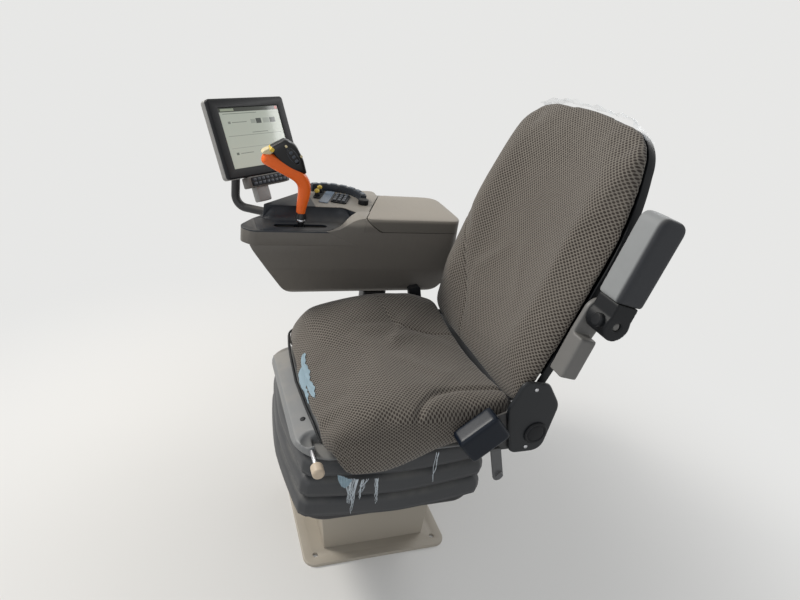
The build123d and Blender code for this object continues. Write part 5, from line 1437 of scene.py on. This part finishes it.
@dataclass
class Remnants:
    """Wear of the covers: torn film on the head, torn lining in front and threads under the skirt."""

    shop: Workshop
    cushion: Piece
    seed: int = 11
    thread: float = 0.0007
    lift: float = 0.0022
    crease: float = 0.0007

    def threads(self) -> None:
        """Loose threads: each falls from the skirt's edge in a widening wave."""
        rng = np.random.default_rng(self.seed)
        points, faces, count = [], [], 0
        share = np.linspace(0, 1, 30)
        tufts = (
            (0.2640, -0.1270, 0.347, 0.066, 12, 0.0060, 0.0020),
            (0.2640, -0.1130, 0.344, 0.096, 9, 0.0022, -0.0075),
            (0.2645, -0.0990, 0.342, 0.052, 8, 0.0050, -0.0060),
            (0.2645, -0.0720, 0.340, 0.080, 6, 0.0040, 0.0060),
            (0.2660, 0.0660, 0.394, 0.088, 3, 0.0040, -0.0050),
        )
        for x, y, z, length, number, spread, drift in tufts:
            for _ in range(number):
                reach = length * rng.uniform(0.55, 1.0)
                start, waves, phase = rng.normal(0, spread), rng.uniform(0.7, 2.2), rng.uniform(0, tau)
                curl = 0.0022 * share**0.7 * np.sin(waves * tau * share + phase)
                line = np.stack(
                    (
                        x + 0.003 * share + 0.5 * curl,
                        y + start * (1 - 0.75 * share) + drift * share + curl,
                        z - reach * share + 0.001 * np.sin(5 * share + phase),
                    ),
                    axis=-1,
                )
                thread, sides = tube(line, self.thread * (1 - 0.45 * share), 6)
                points.append(thread)
                faces.extend([[corner + count for corner in side] for side in sides])
                count += len(thread)
        self.shop.put("frayed_threads", np.vstack(points), faces, "fray", Body.SEAT, "seat_fabric")

    def skin(self, first: np.ndarray, second: np.ndarray, axes: tuple[int, int], axis: int) -> np.ndarray:
        """Where the cushion's skin lies.

        Args:
            first: places along the first of the flat axes.
            second: places along the second one.
            axes: the two flat axes.
            axis: the axis along which the skin is looked for.

        Returns:
            The mean of the nearby vertices, weighted by the fourth power of their closeness.
        """
        at = read_points(self.cushion.data)
        front_y, low_z = (-0.14, 0.431) if axis == 2 else (-0.17, 0.424)
        near = (at[:, 1] < front_y) & (at[:, 2] > low_z)
        near &= (at[:, 0] > first.min() - 0.01) & (at[:, 0] < first.max() + 0.01)
        at = at[near]
        flat = np.stack((first.ravel(), second.ravel()), axis=-1)
        gap = np.hypot(*(flat[:, None] - at[None, :, axes]).transpose(2, 0, 1)) + 1e-4
        weight = gap**-4.0
        return (weight @ at[:, axis] / weight.sum(axis=1)).reshape(first.shape)

    def strip(self, name: str, grid: np.ndarray, finish: str, body: Body) -> None:
        """A thin strip over a grid of points; its area is worked out."""
        rows, columns = grid.shape[:2]
        points = grid.reshape(-1, 3)
        faces = ring_faces(rows, columns, closed=False)
        piece = self.shop.put(name, points, faces, finish, body, "seat_fabric")
        a, b, c, d = (points[faces[:, corner]] for corner in range(4))
        area = np.linalg.norm(np.cross(c - a, d - b), axis=1).sum() / 2

    def lining(self, name: str, x: np.ndarray, y: np.ndarray, z: np.ndarray) -> None:
        """A strip of torn lining on the cushion."""
        grid = np.stack((x, y, z), axis=-1)
        self.strip(f"torn_lining_{name}", grid, "lining", Body.SEAT)

    def build(self) -> None:
        """Hang the threads and lay the film and the torn lining."""
        self.threads()
        along, over = np.meshgrid(np.linspace(0, 1, 140), np.linspace(0, 1, 24))
        crumple = np.sin(19 * along + 3 * over) * np.sin(11 * along - 5 * over)
        crumple = crumple + 0.4 * np.sin(37 * along + 7 * over)
        x = -0.205 + 0.41 * along
        edge = 0.003 * np.sin(26 * along) + 0.003 * np.sin(61 * along + 1.0)
        head = 0.6465 - 0.12 * np.abs(x) ** 2 - 2.6 * np.maximum(np.abs(x) - 0.105, 0) ** 2
        up = head + 0.004 * np.sin(pi * np.minimum(over * 1.6, 1))
        up = up + 0.0018 * crumple * over + edge * (1 - over) ** 2
        out = 0.006 - 0.03 * over + 0.002 * crumple * (1 - over)
        flat = np.stack((x, up, out), axis=-1) @ BACK_AXES
        self.strip("head_film", BACK_FOOT + flat, "film", Body.BACK)
        ragged = 0.0022 * np.sin(17 * along + 1.0) + 0.0012 * np.sin(49 * along)
        ends = np.sqrt(np.clip(1 - (2 * along - 1) ** 4, 0.02, 1))
        x = -0.078 + 0.18 * along
        y = -0.1715 - 0.004 * along - 0.0125 * over * ends + ragged * (1 - over)
        z = self.skin(x, y, (0, 1), 2) + self.lift + self.crease * crumple
        self.lining("wide", x, y, z)
        x = -0.034 + 0.14 * along
        z = 0.443 - 0.01 * along - 0.010 * over * ends + 0.6 * ragged * (1 - over)
        y = self.skin(x, z, (0, 2), 1) - self.lift - self.crease * crumple
        self.lining("slim", x, y, z)
        x = 0.2665 + 0.0012 * crumple
        y = -0.158 + 0.032 * along
        z = 0.366 - 0.028 * over * np.sin(pi * along) ** 0.6 - 0.018 * along
        self.lining("corner", x, y, z)


@dataclass
class PhotoView:
    """The photograph's viewpoint and a plain studio."""

    place: Point = (1.17113, -0.44710, 1.22875)
    turn: float = radians(67.891)
    down: float = radians(25.351)
    roll: float = radians(8.648)
    lens: float = 26.846
    sensor: float = 36.0
    pale: Colour = (0.80, 0.80, 0.79)
    air: Colour = (0.86, 0.88, 0.9)
    air_power: float = 0.46
    floor_half: float = 12.0
    floor_colour: Colour = (0.72, 0.71, 0.69)

    def camera(self) -> None:
        """Add the camera: its axes come from the turn, the look down and the roll."""
        ahead = Vector((-sin(self.turn) * cos(self.down), cos(self.turn) * cos(self.down), -sin(self.down)))
        level = Vector((cos(self.turn), sin(self.turn), 0.0))
        above = level.cross(ahead)
        right = level * cos(self.roll) + above * sin(self.roll)
        up = -level * sin(self.roll) + above * cos(self.roll)
        data = bpy.data.cameras.new("photo_camera")
        data.lens = self.lens
        data.sensor_width = self.sensor
        data.clip_end = 60.0
        eye = bpy.data.objects.new("photo_camera", data)
        bpy.context.scene.collection.objects.link(eye)
        axes = Matrix((right, up, -ahead)).transposed()
        eye.matrix_world = Matrix.Translation(self.place) @ axes.to_4x4()
        bpy.context.scene.camera = eye

    def lamp(
        self, name: str, place: Point, target: Point, size: float, power: float, tint: Colour = (1, 1, 1)
    ) -> None:
        """Add a square lamp that faces a point."""
        data = bpy.data.lights.new(name, "AREA")
        data.size = size
        data.energy = power
        data.color = tint
        lamp = bpy.data.objects.new(name, data)
        bpy.context.scene.collection.objects.link(lamp)
        facing = (Vector(target) - Vector(place)).to_track_quat("-Z", "Y")
        lamp.matrix_world = Matrix.Translation(place) @ facing.to_matrix().to_4x4()

    def studio(self) -> None:
        """Add the floor, the lamps and a pale world."""
        half = self.floor_half
        mesh = bpy.data.meshes.new("studio_floor")
        corners = [(-half, -half, 0), (half, -half, 0), (half, half, 0), (-half, half, 0)]
        mesh.from_pydata(corners, [], [(0, 1, 2, 3)])
        floor = bpy.data.objects.new("studio_floor", mesh)
        bpy.context.scene.collection.objects.link(floor)
        g = Graph("studio_floor")
        across, along, _ = g.axes()
        away = ((across * across + along * along) ** 0.5).rise(0.55, 1.7)
        seen = self.seen_rays(g)
        ground = g.finish(self.floor_colour, g.noise(0.4) * 0.1 + 0.6)
        surface = g.out.inputs["Surface"].links[0].from_socket
        plain = g.node("ShaderNodeEmission", None, {"Color": opaque(self.pale), "Strength": 1.0}).outputs[0]
        share = seen * (away * 0.85 + 0.15)
        both = g.node("ShaderNodeMixShader", None, {0: share, 1: surface, 2: plain}).outputs[0]
        g.tree.links.new(both, g.out.inputs["Surface"])
        mesh.materials.append(ground)
        self.lamp("key", (-1.7, -2.3, 2.9), (0.0, 0.1, 0.6), 1.1, 112.0, (1.0, 0.97, 0.92))
        self.lamp("fill", (2.6, -1.8, 1.6), (0.0, 0.0, 0.6), 2.2, 15.0, (0.93, 0.96, 1.0))
        self.lamp("rim", (-1.6, 2.6, 2.4), (0.0, 0.2, 0.8), 1.6, 34.0)
        world = bpy.data.worlds.new("studio_air")
        bpy.context.scene.world = world
        world.use_nodes = True
        air = Graph.__new__(Graph)
        air.tree = world.node_tree
        air.tree.nodes.clear()
        values = {0: opaque(self.air), 1: self.air_power}
        lit = air.node("ShaderNodeBackground", None, values).outputs[0]
        pale = air.node("ShaderNodeBackground", None, {0: opaque(self.pale), 1: 1.0}).outputs[0]
        both = air.node("ShaderNodeMixShader", None, {0: self.seen_rays(air), 1: lit, 2: pale}).outputs[0]
        out = air.node("ShaderNodeOutputWorld")
        air.tree.links.new(both, out.inputs["Surface"])
        bpy.context.scene.view_settings.view_transform = "Standard"

    @staticmethod
    def seen_rays(g: Graph) -> Term:
        """1 for rays from the camera, a mirror or through glass, and else 0."""
        rays = g.node("ShaderNodeLightPath").outputs
        camera, glossy, through = (
            Term(g, rays[name]) for name in ("Is Camera Ray", "Is Glossy Ray", "Is Transmission Ray")
        )
        return camera.most(glossy).most(through)


def main() -> None:
    """Build the seat's looks in order."""
    logging.basicConfig(level=logging.INFO, format="%(name)s: %(message)s")
    shop = Workshop(Finishes())
    view = PhotoView()
    view.camera()
    view.studio()
    slots = {entry["node"]: entry["material_slot"] for entry in frame["record"]["subparts"]}
    for node, slot in slots.items():
        shop.dress(node, slot)
    Bellows(shop).build()
    Fittings(shop).build()
    cushion = SeatCushion(shop).build()
    BackCushion(shop).build()
    Console(shop).build()
    DriveHandle(shop).build()
    Display(shop).build()
    Remnants(shop, cushion).build()


if __name__ == "__main__":
    main()
